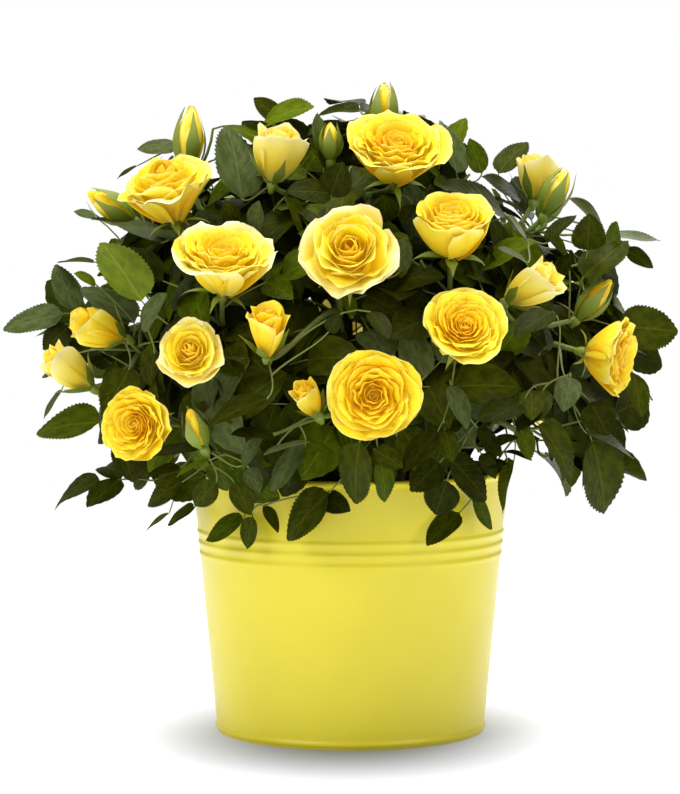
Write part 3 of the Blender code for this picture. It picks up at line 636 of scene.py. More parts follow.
@dataclass(frozen=True)
class PetalFinish:
    """The skin of a petal: a gradient from the foot to the end with fine streaks, another colour
    at the side edges, and a faint painted glow that stands in for the light that shines through it.
    """

    name: str
    stops: Stops
    edge: Colour

    roughness: float = 0.62
    specular: float = 0.12
    soft: float = 0.25
    soft_reach: Triple = (1.0, 0.8, 0.5)
    painted_glow: float = 0.08
    tone: float = 0.90
    streak_shape: Pair = (7.0, 1.1)
    streak_size: float = 2.4
    streaks_shown: float = 0.22
    edge_from: float = 0.75
    edge_shown: float = 0.4
    grain: float = 0.25

    def toned(self, colour: Colour) -> tuple[float, ...]:
        """Deepens a colour to the brightness of real petals."""
        return (*(part * self.tone for part in linear(*colour)[:3]), 1.0)

    def build(self, cell: Cell) -> bpy.types.Material:
        """Makes the material for its cell of the petals' colour sheet.

        Args:
            cell: The cell.

        Returns:
            The material.
        """
        made = Shading(self.name, self.roughness, self.specular)
        made.shader.inputs["Subsurface Weight"].default_value = self.soft
        made.shader.inputs["Subsurface Radius"].default_value = self.soft_reach
        made.shader.inputs["Subsurface Scale"].default_value = 1 * MM
        # The emission is a painted glow in the petal's own colours, standing in for light that shines through
        # it
        made.shader.inputs["Emission Strength"].default_value = self.painted_glow
        across, along = made.cell_place(cell)
        streaks = made.spots(made.stretched(across, along, *self.streak_shape), self.streak_size, 3.0)
        shifted = made.shifted(along, streaks, self.streaks_shown)
        colour = made.ramp(shifted, tuple((place, self.toned(seen)) for place, seen in self.stops))
        aside = made.math("ABSOLUTE", across)
        rim = made.math("MULTIPLY", made.fade(aside, 1.05, self.edge_from), made.fade(along, 0.9, 0.3))
        colour = made.mix(made.math("MULTIPLY", rim, self.edge_shown), colour, self.toned(self.edge))
        made.feed(made.shader.inputs["Base Color"], colour)
        made.feed(made.shader.inputs["Emission Color"], colour)
        made.relief(streaks, self.grain, 0.4 * MM)
        return made.material


@dataclass(frozen=True)
class StemFinish:
    """The skin of twigs, leaf stalks and hips: one colour at the foot, another at the tip."""

    name: str
    foot: Colour
    tip: Colour
    roughness: float

    specular: float = 0.4
    streak_shape: Pair = (3.0, 5.0)
    streak_size: float = 3.0
    streaks_shown: float = 0.5
    grain: float = 0.3

    def build(self, cell: Cell) -> bpy.types.Material:
        """Makes the material for its cell of the stems' colour sheet.

        Args:
            cell: The cell.

        Returns:
            The material.
        """
        made = Shading(self.name, self.roughness, self.specular)
        across, along = made.cell_place(cell)
        streaks = made.spots(made.stretched(across, along, *self.streak_shape), self.streak_size)
        share = made.shifted(along, streaks, self.streaks_shown)
        made.feed(made.shader.inputs["Base Color"], made.mix(share, linear(*self.foot), linear(*self.tip)))
        made.relief(streaks, self.grain, 0.3 * MM)
        return made.material


@dataclass(frozen=True)
class PotPaint:
    """The satin paint of the pot: a little cloudy, with a fine orange-peel skin."""

    colour: Colour = (224, 210, 38)
    deep: Colour = (218, 203, 32)
    cloud_edge: Pair = (0.7, 0.3)
    cloud_size: float = 14
    gloss: Pair = (0.30, 0.44)
    gloss_size: float = 60
    peel: float = 0.05
    peel_size: float = 900

    def build(self) -> bpy.types.Material:
        """Makes the material.

        Returns:
            The material.
        """
        made = Shading("pot_paint", 0.36)
        place = made.object_place()
        clouds = made.fade(made.spots(place, self.cloud_size, 3), *self.cloud_edge)
        colour = made.mix(clouds, linear(*self.colour), linear(*self.deep))
        made.feed(made.shader.inputs["Base Color"], colour)
        rough = made.node("ShaderNodeMapRange")
        made.feed(rough.inputs["Value"], made.spots(place, self.gloss_size, 4))
        rough.inputs["To Min"].default_value, rough.inputs["To Max"].default_value = self.gloss
        made.feed(made.shader.inputs["Roughness"], rough.outputs[0])
        made.relief(made.spots(place, self.peel_size, 2), self.peel, 0.1 * MM)
        return made.material


@dataclass(frozen=True)
class GrainFinish:
    """The matt skin of soil or bark: grains in relief, coloured from the lowest to the highest.

    They are round, or longer along Z where drawn_out gives their scale that way.
    """

    name: str
    roughness: float
    specular: float
    relief: float
    depth: float
    stops: Stops
    drawn_out: float | None = None

    grain_size: float = 420

    def build(self) -> bpy.types.Material:
        """Makes the material.

        Returns:
            The material.
        """
        made = Shading(self.name, self.roughness, self.specular)
        place = made.object_place()
        if self.drawn_out:
            mapping = made.node("ShaderNodeMapping")
            made.feed(mapping.inputs["Vector"], place)
            mapping.inputs["Scale"].default_value = (1, 1, self.drawn_out)
            place = mapping.outputs[0]
        grains = made.spots(place, self.grain_size, 4)
        colour = made.ramp(grains, tuple((at, linear(*seen)) for at, seen in self.stops))
        made.feed(made.shader.inputs["Base Color"], colour)
        made.relief(grains, self.relief, self.depth)
        return made.material


@dataclass(frozen=True)
class FloorWhite:
    """The floor: dim grey that glows white away from the pot, with a painted shadow under and in front of the
    pot where the glow fades out, and fades into the white behind.
    """

    colour: Shade = (0.30, 0.31, 0.36, 1)
    shade_front: float = 0.030
    shade_narrow: float = 1.36
    glow_from: float = 0.030
    glow_to: float = 0.220
    glow: float = 1.15

    def build(self) -> bpy.types.Material:
        """Makes the material.

        Returns:
            The material.
        """
        made = Shading("floor_white", 0.9, 0.0)
        made.shader.inputs["Base Color"].default_value = self.colour
        made.shader.inputs["Emission Color"].default_value = (1, 1, 1, 1)
        # Painted shadow: the white glow fades out within an ellipse round a point in front of the pot,
        # narrower across than deep, and there the dim grey shows
        shade = made.node("ShaderNodeMapping")
        made.feed(shade.inputs["Vector"], made.object_place())
        shade.inputs["Location"].default_value = (0, self.shade_front, 0)
        shade.inputs["Scale"].default_value = (self.shade_narrow, 1, 1)
        away = made.node("ShaderNodeVectorMath", operation="LENGTH")
        made.feed(away.inputs[0], shade.outputs[0])
        glow = made.math("SUBTRACT", 1.0, made.fade(away.outputs["Value"], self.glow_from, self.glow_to))
        made.feed(made.shader.inputs["Emission Strength"], made.math("MULTIPLY", glow, self.glow))
        return made.material


LEAF_UPPER = {
    LeafTint.DARK: LeafFinish("leaf_dark", (42, 47, 2), (32, 36, 2), (62, 70, 12), 0.38, 0.30),
    LeafTint.OLIVE: LeafFinish("leaf_olive", (58, 65, 2), (45, 51, 2), (80, 88, 14), 0.40, 0.30),
    LeafTint.GREEN: LeafFinish("leaf_green", (70, 84, 3), (56, 68, 2), (94, 108, 20), 0.42, 0.30),
    LeafTint.FRESH: LeafFinish("leaf_fresh", (88, 102, 12), (74, 88, 8), (112, 126, 34), 0.44),
    # A glossy grey-green: partly the leaves' own waxy bloom, partly a painted sheen of reflected light
    LeafTint.GREY: LeafFinish("leaf_grey", (78, 88, 48), (62, 72, 34), (94, 104, 62), 0.36, 0.30),
}
LEAF_UNDER = {
    LeafTint.DARK: LeafFinish("leaf_dark_under", (74, 84, 26), (62, 72, 20), (96, 106, 44)),
    LeafTint.OLIVE: LeafFinish("leaf_olive_under", (84, 95, 30), (72, 83, 24), (106, 115, 48)),
    LeafTint.GREEN: LeafFinish("leaf_green_under", (96, 110, 36), (84, 98, 30), (118, 130, 56)),
    LeafTint.FRESH: LeafFinish("leaf_fresh_under", (116, 132, 46), (104, 120, 40), (138, 150, 70)),
    LeafTint.GREY: LeafFinish("leaf_grey_under", (96, 106, 72), (84, 94, 60), (116, 124, 88)),
}
PETAL_INNER = {
    PetalTint.AMBER: PetalFinish("petal_amber", (
        (0.0, (238, 132, 4)), (0.40, (248, 174, 8)), (0.76, (252, 204, 16)), (0.95, (253, 218, 38)),
        (1.0, (254, 226, 66)),
    ), (253, 222, 52)),
    PetalTint.GOLD: PetalFinish("petal_gold", (
        (0.0, (246, 172, 6)), (0.36, (251, 204, 12)), (0.74, (253, 222, 22)), (0.94, (254, 230, 50)),
        (1.0, (254, 237, 94)),
    ), (254, 233, 84)),
    PetalTint.LEMON: PetalFinish("petal_lemon", (
        (0.0, (250, 190, 8)), (0.32, (253, 216, 18)), (0.70, (254, 229, 36)), (0.90, (254, 235, 68)),
        (1.0, (255, 241, 124)),
    ), (254, 237, 104)),
    PetalTint.CREAM: PetalFinish("petal_cream", (
        (0.0, (251, 198, 16)), (0.28, (254, 222, 30)), (0.60, (254, 232, 64)), (0.84, (255, 239, 124)),
        (1.0, (255, 244, 186)),
    ), (255, 243, 178)),
}
PETAL_OUTER = {
    PetalTint.AMBER: PetalFinish("petal_amber_back", (
        (0.0, (216, 150, 22)), (0.40, (244, 176, 14)), (0.80, (251, 202, 22)), (0.96, (253, 214, 46)),
        (1.0, (254, 222, 72)),
    ), (253, 218, 60)),
    PetalTint.GOLD: PetalFinish("petal_gold_back", (
        (0.0, (216, 170, 34)), (0.36, (249, 194, 18)), (0.78, (253, 214, 32)), (0.95, (253, 225, 70)),
        (1.0, (254, 234, 110)),
    ), (254, 230, 94)),
    PetalTint.LEMON: PetalFinish("petal_lemon_back", (
        (0.0, (212, 192, 56)), (0.34, (251, 208, 30)), (0.74, (253, 226, 60)), (0.92, (254, 236, 100)),
        (1.0, (255, 243, 156)),
    ), (254, 239, 136)),
    PetalTint.CREAM: PetalFinish("petal_cream_back", (
        (0.0, (208, 202, 88)), (0.32, (252, 222, 64)), (0.66, (254, 234, 104)), (0.88, (255, 240, 148)),
        (1.0, (255, 245, 192)),
    ), (255, 242, 164)),
}
EARTH = GrainFinish("soil", 0.92, 0.2, 0.8, 1.0 * MM, (
    (0.30, (34, 24, 16)), (0.50, (58, 42, 28)), (0.62, (84, 62, 42)), (0.74, (120, 98, 70)),
))
BARK = GrainFinish("rose_bark", 0.60, 0.35, 0.7, 0.5 * MM, (
    (0.32, (70, 66, 30)), (0.48, (92, 96, 44)), (0.60, (112, 108, 58)), (0.74, (140, 126, 86)),
), 0.18)


class StemKind(Enum):
    """What a tube in the twigs is, which gives it its finish."""

    TWIG = 0
    STALK = 1
    SEPAL = 2


STEMS = {
    StemKind.TWIG: StemFinish("twig_green", (84, 92, 34), (112, 132, 52), 0.45),
    StemKind.STALK: StemFinish("leaf_stalk", (104, 98, 44), (98, 122, 44), 0.50),
    StemKind.SEPAL: StemFinish("sepal_green", (108, 136, 22), (138, 144, 62), 0.55),
}


@dataclass(frozen=True)
class Template:
    """A small shape made once, whose copies get their places from arrays.

    Attributes:
        faces: The vertices of each face.
        under: Whether each face is on the under skin.
        across: Each vertex's place across the shape, -1 to 1.
        along: Each vertex's place along the shape, 0 to 1.
        skin: 0 for each vertex of the upper skin and the edge, -1 for the under skin.
    """

    faces: list[tuple[int, ...]]
    under: np.ndarray
    across: np.ndarray
    along: np.ndarray
    skin: np.ndarray

    @staticmethod
    def blade(columns: int, rows: int) -> "Template":
        """Makes a closed thin blade: a grid, and a copy of it under it, joined at the edge.

        Args:
            columns: How many faces it has across.
            rows: How many faces it has along.

        Returns:
            The blade.
        """
        shape = bmesh.new()
        bmesh.ops.create_grid(shape, x_segments=columns, y_segments=rows, size=1)
        upper = shape.verts[:] + shape.edges[:] + shape.faces[:]
        made = bmesh.ops.duplicate(shape, geom=upper)["geom"]
        bmesh.ops.reverse_faces(shape, faces=[x for x in made if isinstance(x, bmesh.types.BMFace)])
        inside = 1 - MERGE_DISTANCE
        for vert in (x for x in made if isinstance(x, bmesh.types.BMVert)):
            if abs(vert.co.x) < inside and abs(vert.co.y) < inside:
                vert.co.z = -1
        bmesh.ops.remove_doubles(shape, verts=shape.verts, dist=MERGE_DISTANCE)
        places = np.array([vert.co for vert in shape.verts])
        faces = [tuple(vert.index for vert in face.verts) for face in shape.faces]
        under = np.array([min(places[list(face), 2]) < 0 for face in faces])
        shape.free()
        return Template(faces, under, places[:, 0], (places[:, 1] + 1) / 2, places[:, 2])

    @staticmethod
    def tube(sides: int, rings: int) -> "Template":
        """Makes a closed tube with flat ends.

        Args:
            sides: How many faces it has round.
            rings: How many rings of vertices it has along.

        Returns:
            The tube. Its across goes once round, from -1 to 1.
        """
        shape = bmesh.new()
        bmesh.ops.create_cone(
            shape, cap_ends=True, segments=sides, radius1=1, radius2=1, depth=2, calc_uvs=False
        )
        sloping = [edge for edge in shape.edges if abs(edge.verts[0].co.z - edge.verts[1].co.z) > 1]
        if rings > 2:
            bmesh.ops.subdivide_edges(shape, edges=sloping, cuts=rings - 2, use_grid_fill=True)
        places = np.array([vert.co for vert in shape.verts])
        shape.verts.index_update()
        faces = [tuple(vert.index for vert in face.verts) for face in shape.faces]
        shape.free()
        turn = np.arctan2(places[:, 1], places[:, 0]) / math.pi
        along = (places[:, 2] + 1) / 2
        return Template(faces, np.zeros(len(faces), bool), turn, along, np.zeros(len(along)))


@dataclass
class Batch:
    """Many copies of small shapes, joined into one mesh with one shared colour sheet.

    Attributes:
        columns: How many tints its colour sheet has.
        skins: 2 for blades, which have an upper and an under skin, and 1 for tubes.
    """

    columns: int
    skins: int

    SHEET: ClassVar[str] = "OFBake"
    SHARP: ClassVar[float] = math.radians(75)

    places: list[np.ndarray] = field(default_factory=list)
    faces: list[tuple[int, ...]] = field(default_factory=list)
    kinds: list[int] = field(default_factory=list)
    sheet: list[np.ndarray] = field(default_factory=list)
    count: int = 0

    def add(self, template: Template, places: np.ndarray, column: int) -> None:
        """Adds one copy of a template.

        Args:
            template: The shape.
            places: Where each of its vertices goes.
            column: The tint's column in the colour sheet.
        """
        cells = [Cell(column, self.columns, row, self.skins) for row in range(self.skins)]
        spreads = [cell.spread(template.across, template.along) for cell in cells]
        for face, under in zip(template.faces, template.under):
            self.faces.append(tuple(index + self.count for index in face))
            self.kinds.append(column * self.skins + int(under))
            self.sheet.append(spreads[int(under)][list(face)])
        self.places.append(places)
        self.count += len(places)

    def build(self, name: str, materials: list[bpy.types.Material]) -> bpy.types.Object:
        """Joins the copies into one object.

        Args:
            name: The object's name.
            materials: A material for each tint and skin.

        Returns:
            The new object, linked into the scene.
        """
        mesh = bpy.data.meshes.new(name)
        mesh.from_pydata(np.concatenate(self.places).tolist(), [], self.faces)
        for material in materials:
            mesh.materials.append(material)
        mesh.polygons.foreach_set("material_index", self.kinds)
        sheet = mesh.uv_layers.new(name=self.SHEET)
        sheet.data.foreach_set("uv", np.concatenate(self.sheet).ravel())
        mesh.shade_smooth()
        mesh.set_sharp_from_angle(angle=self.SHARP)
        return linked(name, mesh)


def linked(name: str, mesh: bpy.types.Mesh) -> bpy.types.Object:
    """Makes an object for a mesh and links it into the scene.

    Args:
        name: The object's name.
        mesh: The mesh.

    Returns:
        The object.
    """
    made = bpy.data.objects.new(name, mesh)
    bpy.context.scene.collection.objects.link(made)
    return made


def shaped(
    name: str, shape: bmesh.types.BMesh, material: bpy.types.Material, sharp: float | None = None
) -> bpy.types.Object:
    """Makes an object of a finished shape, and frees the shape.

    Args:
        name: The object's name.
        shape: The shape.
        material: Its material.
        sharp: From which angle an edge stays sharp, in degrees, or nothing for flat faces.

    Returns:
        The object, linked into the scene.
    """
    mesh = bpy.data.meshes.new(name)
    shape.to_mesh(mesh)
    shape.free()
    mesh.materials.append(material)
    if sharp:
        mesh.shade_smooth()
        mesh.set_sharp_from_angle(angle=math.radians(sharp))
    return linked(name, mesh)


def add_tube(shape: bmesh.types.BMesh, tube: Template, places: Sequence) -> None:
    """Adds a tube to a shape, with its vertices at the given places.

    Args:
        shape: The shape.
        tube: The tube.
        places: The places.
    """
    verts = [shape.verts.new(place) for place in places]
    for face in tube.faces:
        shape.faces.new([verts[index] for index in face])


def both_skins(tints: type[Enum], upper: dict, under: dict) -> list[bpy.types.Material]:
    """Makes two materials for each tint, of its upper skin and of its under skin."""
    return [
        finish[tint].build(Cell(tint.value, len(tints), row, 2))
        for tint in tints for row, finish in enumerate((upper, under))
    ]


def dress(piece: bpy.types.Object, slot: str, *nodes: str) -> None:
    """Lets a finished piece ride on the plant, in place of its nodes.

    Args:
        piece: The finished piece.
        slot: Not used.
        nodes: The nodes of the frame that it stands for.
    """
    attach(piece, "root")
    if nodes:
        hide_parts(*nodes)
    LOG.info("%s: %d faces, stands for %s", piece.name, len(piece.data.polygons), nodes or "no node")


@dataclass(frozen=True)
class Line:
    """A tapering stem: the points along it, and its radius at each."""

    points: list[Vector]
    radii: list[float]

    def places(self, template: Template, scale: float = 1.0) -> np.ndarray:
        """Bends a tube onto the stem.

        Args:
            template: A tube with one ring for each point.
            scale: What the radii are multiplied by.

        Returns:
            Where each of the tube's vertices goes.
        """
        points = rows_of(self.points)
        axes = np.gradient(points, axis=0)
        axes /= np.linalg.norm(axes, axis=1)[:, None]
        side = np.array(Vector(axes[0]).orthogonal().normalized())
        sides = []
        for axis in axes:
            side = side - axis * side.dot(axis)
            side /= np.linalg.norm(side)
            sides.append(side)
        sides = np.array(sides)
        others = np.cross(axes, sides)
        rings = np.rint(template.along * (len(points) - 1)).astype(int)
        turn = template.across * math.pi
        radii = np.array(self.radii)[rings, None] * scale
        around = sides[rings] * np.cos(turn)[:, None] + others[rings] * np.sin(turn)[:, None]
        return points[rings] + around * radii


@dataclass(frozen=True)
class FormShape:
    """How the petals of a bloom lie. Each trait has a value for the innermost, middle and
    outermost petals. Radii and widths are shares of the bloom's radius, and heights are shares
    of its depth.

    Attributes:
        petals: How many petals there are.
        deep: The bloom's depth for each unit across.
        tip_radius: How far from the axis the petals end.
        tip_height: How high the petals end.
        bend: How far the petals bend outwards from foot to edge, in degrees.
        lip: How much further their edge rolls back, in degrees.
        half_width: Half the width of the petals.
        curl: The radius that the petals are curled to across, for each unit of their own radius.
        ruffle: How far the edges wave.
        point: How far the middle of the edge stands out.
        waver: How much the petals differ from each other.
        sepal: The sepals' tip radius, tip height and bend.
    """

    petals: int
    deep: float
    tip_radius: Triple
    tip_height: Triple
    bend: Triple
    lip: Triple
    half_width: Triple
    curl: Triple
    ruffle: Triple
    point: float
    waver: float
    sepal: Triple

    def at(self, trait: Triple, layer: float) -> float:
        """Finds a trait's value for the petals of a layer, 0 innermost and 1 outermost."""
        return float(np.interp(layer, (0, 0.5, 1), trait))


FORMS = {
    Form.OPEN: FormShape(
        42, 0.51, (0.01, 0.54, 1.02), (0.88, 0.99, 0.80), (-14, -8, -14), (6, 30, 86),
        (0.20, 0.42, 0.74), (1.0, 1.15, 1.4), (0.020, 0.044, 0.070), 0.03, 0.05, (0.62, -0.10, 60),
    ),
    Form.LOOSE: FormShape(
        26, 0.54, (0.00, 0.50, 1.04), (1.08, 0.98, 0.62), (-46, -14, 22), (0, 38, 84),
        (0.34, 0.62, 0.84), (0.9, 1.1, 1.5), (0.012, 0.045, 0.085), 0.14, 0.08, (0.62, -0.10, 60),
    ),
    Form.CUP: FormShape(
        32, 0.64, (0.02, 0.50, 0.98), (0.84, 1.00, 0.86), (-10, -20, -64), (4, 34, 84),
        (0.24, 0.54, 0.92), (1.0, 1.1, 1.1), (0.012, 0.040, 0.055), 0.08, 0.05, (0.85, 0.02, 60),
    ),
    Form.FLARED: FormShape(
        16, 0.82, (0.06, 0.44, 0.98), (0.96, 1.00, 0.90), (-14, -24, -26), (0, 22, 46),
        (0.42, 0.74, 0.94), (1.0, 1.0, 1.1), (0.012, 0.040, 0.070), 0.18, 0.07, (0.92, 0.62, -34),
    ),
    Form.HALF: FormShape(
        14, 1.14, (0.06, 0.44, 1.00), (0.97, 1.00, 0.88), (-14, -26, -40), (0, 22, 66),
        (0.45, 0.80, 1.00), (1.0, 1.0, 1.05), (0.012, 0.040, 0.060), 0.14, 0.06, (1.00, 0.40, -12),
    ),
    Form.BUD: FormShape(
        7, 1.75, (0.05, 0.14, 0.30), (1.00, 0.96, 0.86), (-46, -78, -96), (0, 6, 26),
        (0.70, 0.95, 1.15), (1.0, 1.0, 1.0), (0.000, 0.012, 0.030), 0.05, 0.03, (0.42, 0.92, -84),
    ),
}


@dataclass(frozen=True)
class Bloom:
    """One bloom or bud of a mass, with its size across and its middle.

    Its warmth goes from 0, pale, to 1, deep gold.
    """

    mass: str
    form: Form
    across: float
    facing: Vector
    centre: Vector
    warmth: float

    @property
    def shape(self) -> FormShape:
        """How its petals lie."""
        return FORMS[self.form]

    @property
    def depth(self) -> float:
        """How deep it is along its axis."""
        return self.across * self.shape.deep

    @property
    def base(self) -> Vector:
        """Where its stem meets it."""
        return self.centre - self.facing * self.depth / 2


class Midline:
    """The middle line of a petal or sepal, in the plane of the bloom's axis."""

    SAMPLES: ClassVar[int] = 28
    LIP_FROM: ClassVar[float] = 0.70

    def __init__(self, foot: Pair, tip: Pair, bend: float, lip: float) -> None:
        """Lays a bent line from the foot to the tip.

        Args:
            foot: Distance from the axis and height of the foot.
            tip: Distance from the axis and height of the tip.
            bend: How far it bends outwards on its way, in degrees.
            lip: How much further it rolls back near the tip, in degrees.
        """
        self.along = np.linspace(0, 1, self.SAMPLES)
        rolled = np.clip((self.along - self.LIP_FROM) / (1 - self.LIP_FROM), 0, 1) ** 2
        self.angle = np.radians(bend * self.along + lip * rolled)
        out, up = self.summed()
        wanted = math.atan2(tip[0] - foot[0], tip[1] - foot[1])
        self.angle += wanted - math.atan2(out[-1], up[-1])
        scale = math.hypot(tip[0] - foot[0], tip[1] - foot[1]) / math.hypot(out[-1], up[-1])
        out, up = self.summed()
        self.radius = foot[0] + out * scale
        self.height = foot[1] + up * scale

    def summed(self) -> tuple[np.ndarray, np.ndarray]:
        """Walks along the line in even steps and sums how far it has gone out and up.

        Returns:
            How far out, and how far up.
        """
        out = np.concatenate([[0], np.cumsum((np.sin(self.angle[1:]) + np.sin(self.angle[:-1])) / 2)])
        up = np.concatenate([[0], np.cumsum((np.cos(self.angle[1:]) + np.cos(self.angle[:-1])) / 2)])
        return out, up

    def at(self, along: np.ndarray) -> tuple[np.ndarray, np.ndarray, np.ndarray]:
        """Finds radius, height and angle at places along the line."""
        return (
            np.interp(along, self.along, self.radius),
            np.interp(along, self.along, self.height),
            np.interp(along, self.along, self.angle),
        )


@dataclass(frozen=True)
class Cut:
    """The outline and the curl of one petal or sepal.

    Attributes:
        half_width: Half its width.
        curl: The radius that it is curled to across, for each unit of its own radius.
        ruffle: How far its edge waves.
        round_off: How much shorter its sides are than its middle.
        point: How far the middle of its edge stands out.
        skew: How much further out one side lies than the other.
    """

    half_width: float
    curl: float
    ruffle: float = 0.0
    round_off: float = 0.0
    point: float = 0.0
    skew: float = 0.0


@dataclass
class Rosette:
    """The petals, sepals and hip of one bloom, with random draws that start from a seed."""

    bloom: Bloom
    seed: str

    petal_thickness: float = 0.30 * MM
    foot_radius: Pair = (0.015, 0.060)
    foot_rise: float = 0.22
    foot_width: float = 0.30
    widest: float = 0.62
    narrowing: float = 0.12
    off_middle: float = 0.15
    edge_round: float = 0.22
    edge_power: float = 2.4
    bud_round: float = 0.42
    point_width: float = 0.24
    to_edge: float = 0.8
    least_bow: float = 0.05
    most_swing: float = 2.3
    waves: Pair = (1.8, 3.2)
    fine_waves: Pair = (2.3, 0.35)
    middle_waves: float = 0.4
    # How far the traits of petals differ from each other
    tip_out: Pair = (-1.6, 0.6)
    bends: float = 150
    lips: float = 7
    widths: float = 2
    curls: Pair = (-1, 3)
    ruffles: Pair = (0.5, 1.4)
    points: Pair = (0.2, 1.5)
    skew: float = 0.10
    turns: float = 4
    fine_from: float = 0.55
    # The tint's place from amber to cream: its layer's part, its heart's part and its spread
    tint_layer: Triple = (0.2, 0.9, 1.4)
    tint_heart: Pair = (0.8, 0.35)
    tint_warmth: float = 2.6
    tint_spread: float = 0.4
    warm_heart: float = 0.65
    heart_top: float = 0.64
    heart_radii: tuple[float, ...] = (0.02, 0.06, 0.13, 0.22, 0.34, 0.44, 0.36, 0.04)
    sepals: int = 5
    sepal_width: float = 3.2 * MM
    bud_sepal_width: float = 4.3 * MM
    sepal_opened: float = 0.6
    sepal_out: float = 0.5 * MM
    sepal_curl: float = 1.2
    sepal_stations: tuple[float, ...] = (0, 0.4, 0.7, 1)
    sepal_shares: tuple[float, ...] = (1.0, 1.0, 0.45, 0.05)
    hip_radius: float = 2.8 * MM
    hip_length: float = 8.0 * MM
    hip_radii: tuple[float, ...] = (0.46, 0.66, 0.86, 1.00, 1.00, 0.88, 0.62)
    hip_sunk: float = 0.2

    def __post_init__(self) -> None:
        """Sets the bloom's own axes."""
        self.rng = random.Random(self.seed)
        facing = self.bloom.facing
        side = side_of(facing, self.rng.uniform(0, math.tau))
        self.axes = rows_of([side, facing.cross(side), facing])

    def placed(self, places: np.ndarray) -> np.ndarray:
        """Moves places from the bloom's own axes into the plant's."""
        return np.array(tuple(self.bloom.base)) + places @ self.axes

    def sheet(self, blade: Template, line: Midline, turn: float, cut: Cut) -> np.ndarray:
        """Bends a blade into a petal or sepal.

        Args:
            blade: The blade.
            line: Its middle line.
            turn: The way it points round the axis.
            cut: Its outline and curl.

        Returns:
            Where each of the blade's vertices goes, in the plant's axes.
        """
        rng = self.rng
        middle = rng.uniform(-self.off_middle, self.off_middle)
        aside = np.abs(blade.across - middle * (1 - blade.across ** 2))
        point = cut.point * (np.exp(-((aside / self.point_width) ** 2)) - 1)
        shorter = 1 - cut.round_off * aside ** self.edge_power + point
        along = blade.along ** self.to_edge * shorter
        radius, height, angle = line.at(along)
        opened = np.sin(np.minimum(along / self.widest, 1) * math.pi / 2)
        end = np.clip((along - self.widest) / (1 - self.widest), 0, 1)
        width = cut.half_width * (self.foot_width + (1 - self.foot_width) * opened)
        width = width * (1 - self.narrowing * end ** 2)
        small = self.least_bow * self.bloom.across / 2
        bow = cut.curl * (0.5 * line.radius.max() + 0.5 * radius + small)
        swing = np.clip(blade.across * width / bow, -self.most_swing, self.most_swing)
        wave, waves = rng.uniform(0, math.tau), rng.uniform(*self.waves)
        finer, share = self.fine_waves
        rolling = np.sin(waves * math.pi * blade.across + wave)
        rolling = rolling + share * np.sin(finer * waves * math.pi * blade.across + 2 * wave)
        lift = cut.ruffle * along ** 2 * (self.middle_waves + aside) * rolling
        lift = lift - cut.skew * blade.across * width
        inward = bow * (1 - np.cos(swing)) + lift + blade.skin * self.petal_thickness
        sideways = -bow * np.sin(swing)
        out = radius - np.cos(angle) * inward
        up = height + np.sin(angle) * inward
        right, ahead = math.cos(turn), math.sin(turn)
        return self.placed(np.stack([
            out * right - sideways * ahead, out * ahead + sideways * right, up
        ], axis=1))

    def tint(self, layer: float) -> PetalTint:
        """Picks the colour of a petal: warm in the middle, pale at the outside.

        Args:
            layer: The petal's layer, 0 innermost and 1 outermost.

        Returns:
            The colour.
        """
        warm = (0.5 - self.bloom.warmth) * self.tint_warmth
        warmer, heart_layers = self.tint_heart
        heart = max(0.0, 1 - layer / heart_layers)
        start, rise, steep = self.tint_layer
        spread = self.rng.uniform(-self.tint_spread, self.tint_spread)
        value = start + rise * layer + steep * layer ** 3 - warmer * heart + warm + spread
        return PetalTint(int(min(3, max(0, round(value)))))

    def add_heart(self, batch: Batch, ball: Template) -> None:
        """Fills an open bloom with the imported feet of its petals.

        Args:
            batch: The batch of the bloom's piece.
            ball: The tube that the heart is blown up from.
        """
        bloom = self.bloom
        if bloom.form in (Form.HALF, Form.BUD):
            return
        count = len(self.heart_radii)
        top = bloom.depth * self.heart_top
        points = [bloom.base + bloom.facing * top * step / (count - 1) for step in range(count)]
        radii = [bloom.across / 2 * share for share in self.heart_radii]
        tint = PetalTint.AMBER if bloom.warmth > self.warm_heart else PetalTint.GOLD
        batch.add(ball, Line(points, radii).places(ball), tint.value)

    def add_petals(self, batch: Batch, blades: list[Template]) -> None:
        """Adds the petals, from the innermost out, each turned on by the golden angle.

        Args:
            batch: The batch of the bloom's piece.
            blades: The blades of a bud's petals, of inner petals and of outer petals.
        """
        bloom, shape, rng = self.bloom, self.bloom.shape, self.rng
        size, waver = bloom.across / 2, self.bloom.shape.waver
        for index in range(shape.petals):
            layer = (index + 0.5) / shape.petals
            foot_radius = size * (self.foot_radius[0] + self.foot_radius[1] * layer)
            foot = (foot_radius, bloom.depth * self.foot_rise * (1 - layer))
            tip = (
                size * shape.at(shape.tip_radius, layer) * (1 + rng.uniform(*self.tip_out) * waver),
                bloom.depth * shape.at(shape.tip_height, layer) * (1 + rng.uniform(-1, 1) * waver),
            )
            bend = shape.at(shape.bend, layer) + rng.uniform(-self.bends, self.bends) * waver
            lip = shape.at(shape.lip, layer) * (1 + rng.uniform(-self.lips, self.lips) * waver)
            cut = Cut(
                size * shape.at(shape.half_width, layer)
                * (1 + rng.uniform(-self.widths, self.widths) * waver),
                shape.at(shape.curl, layer) * (1 + rng.uniform(*self.curls) * waver),
                size * shape.at(shape.ruffle, layer) * rng.uniform(*self.ruffles),
                self.bud_round if bloom.form is Form.BUD else self.edge_round,
                shape.point * layer * rng.uniform(*self.points),
                self.skew * (1 - 0.5 * layer) + rng.uniform(-1, 1) * waver,
            )
            turn = index * GOLDEN + rng.uniform(-self.turns, self.turns) * waver
            blade = blades[0] if bloom.form is Form.BUD else blades[1 + (layer > self.fine_from)]
            places = self.sheet(blade, Midline(foot, tip, bend, lip), turn, cut)
            batch.add(blade, places, self.tint(layer).value)

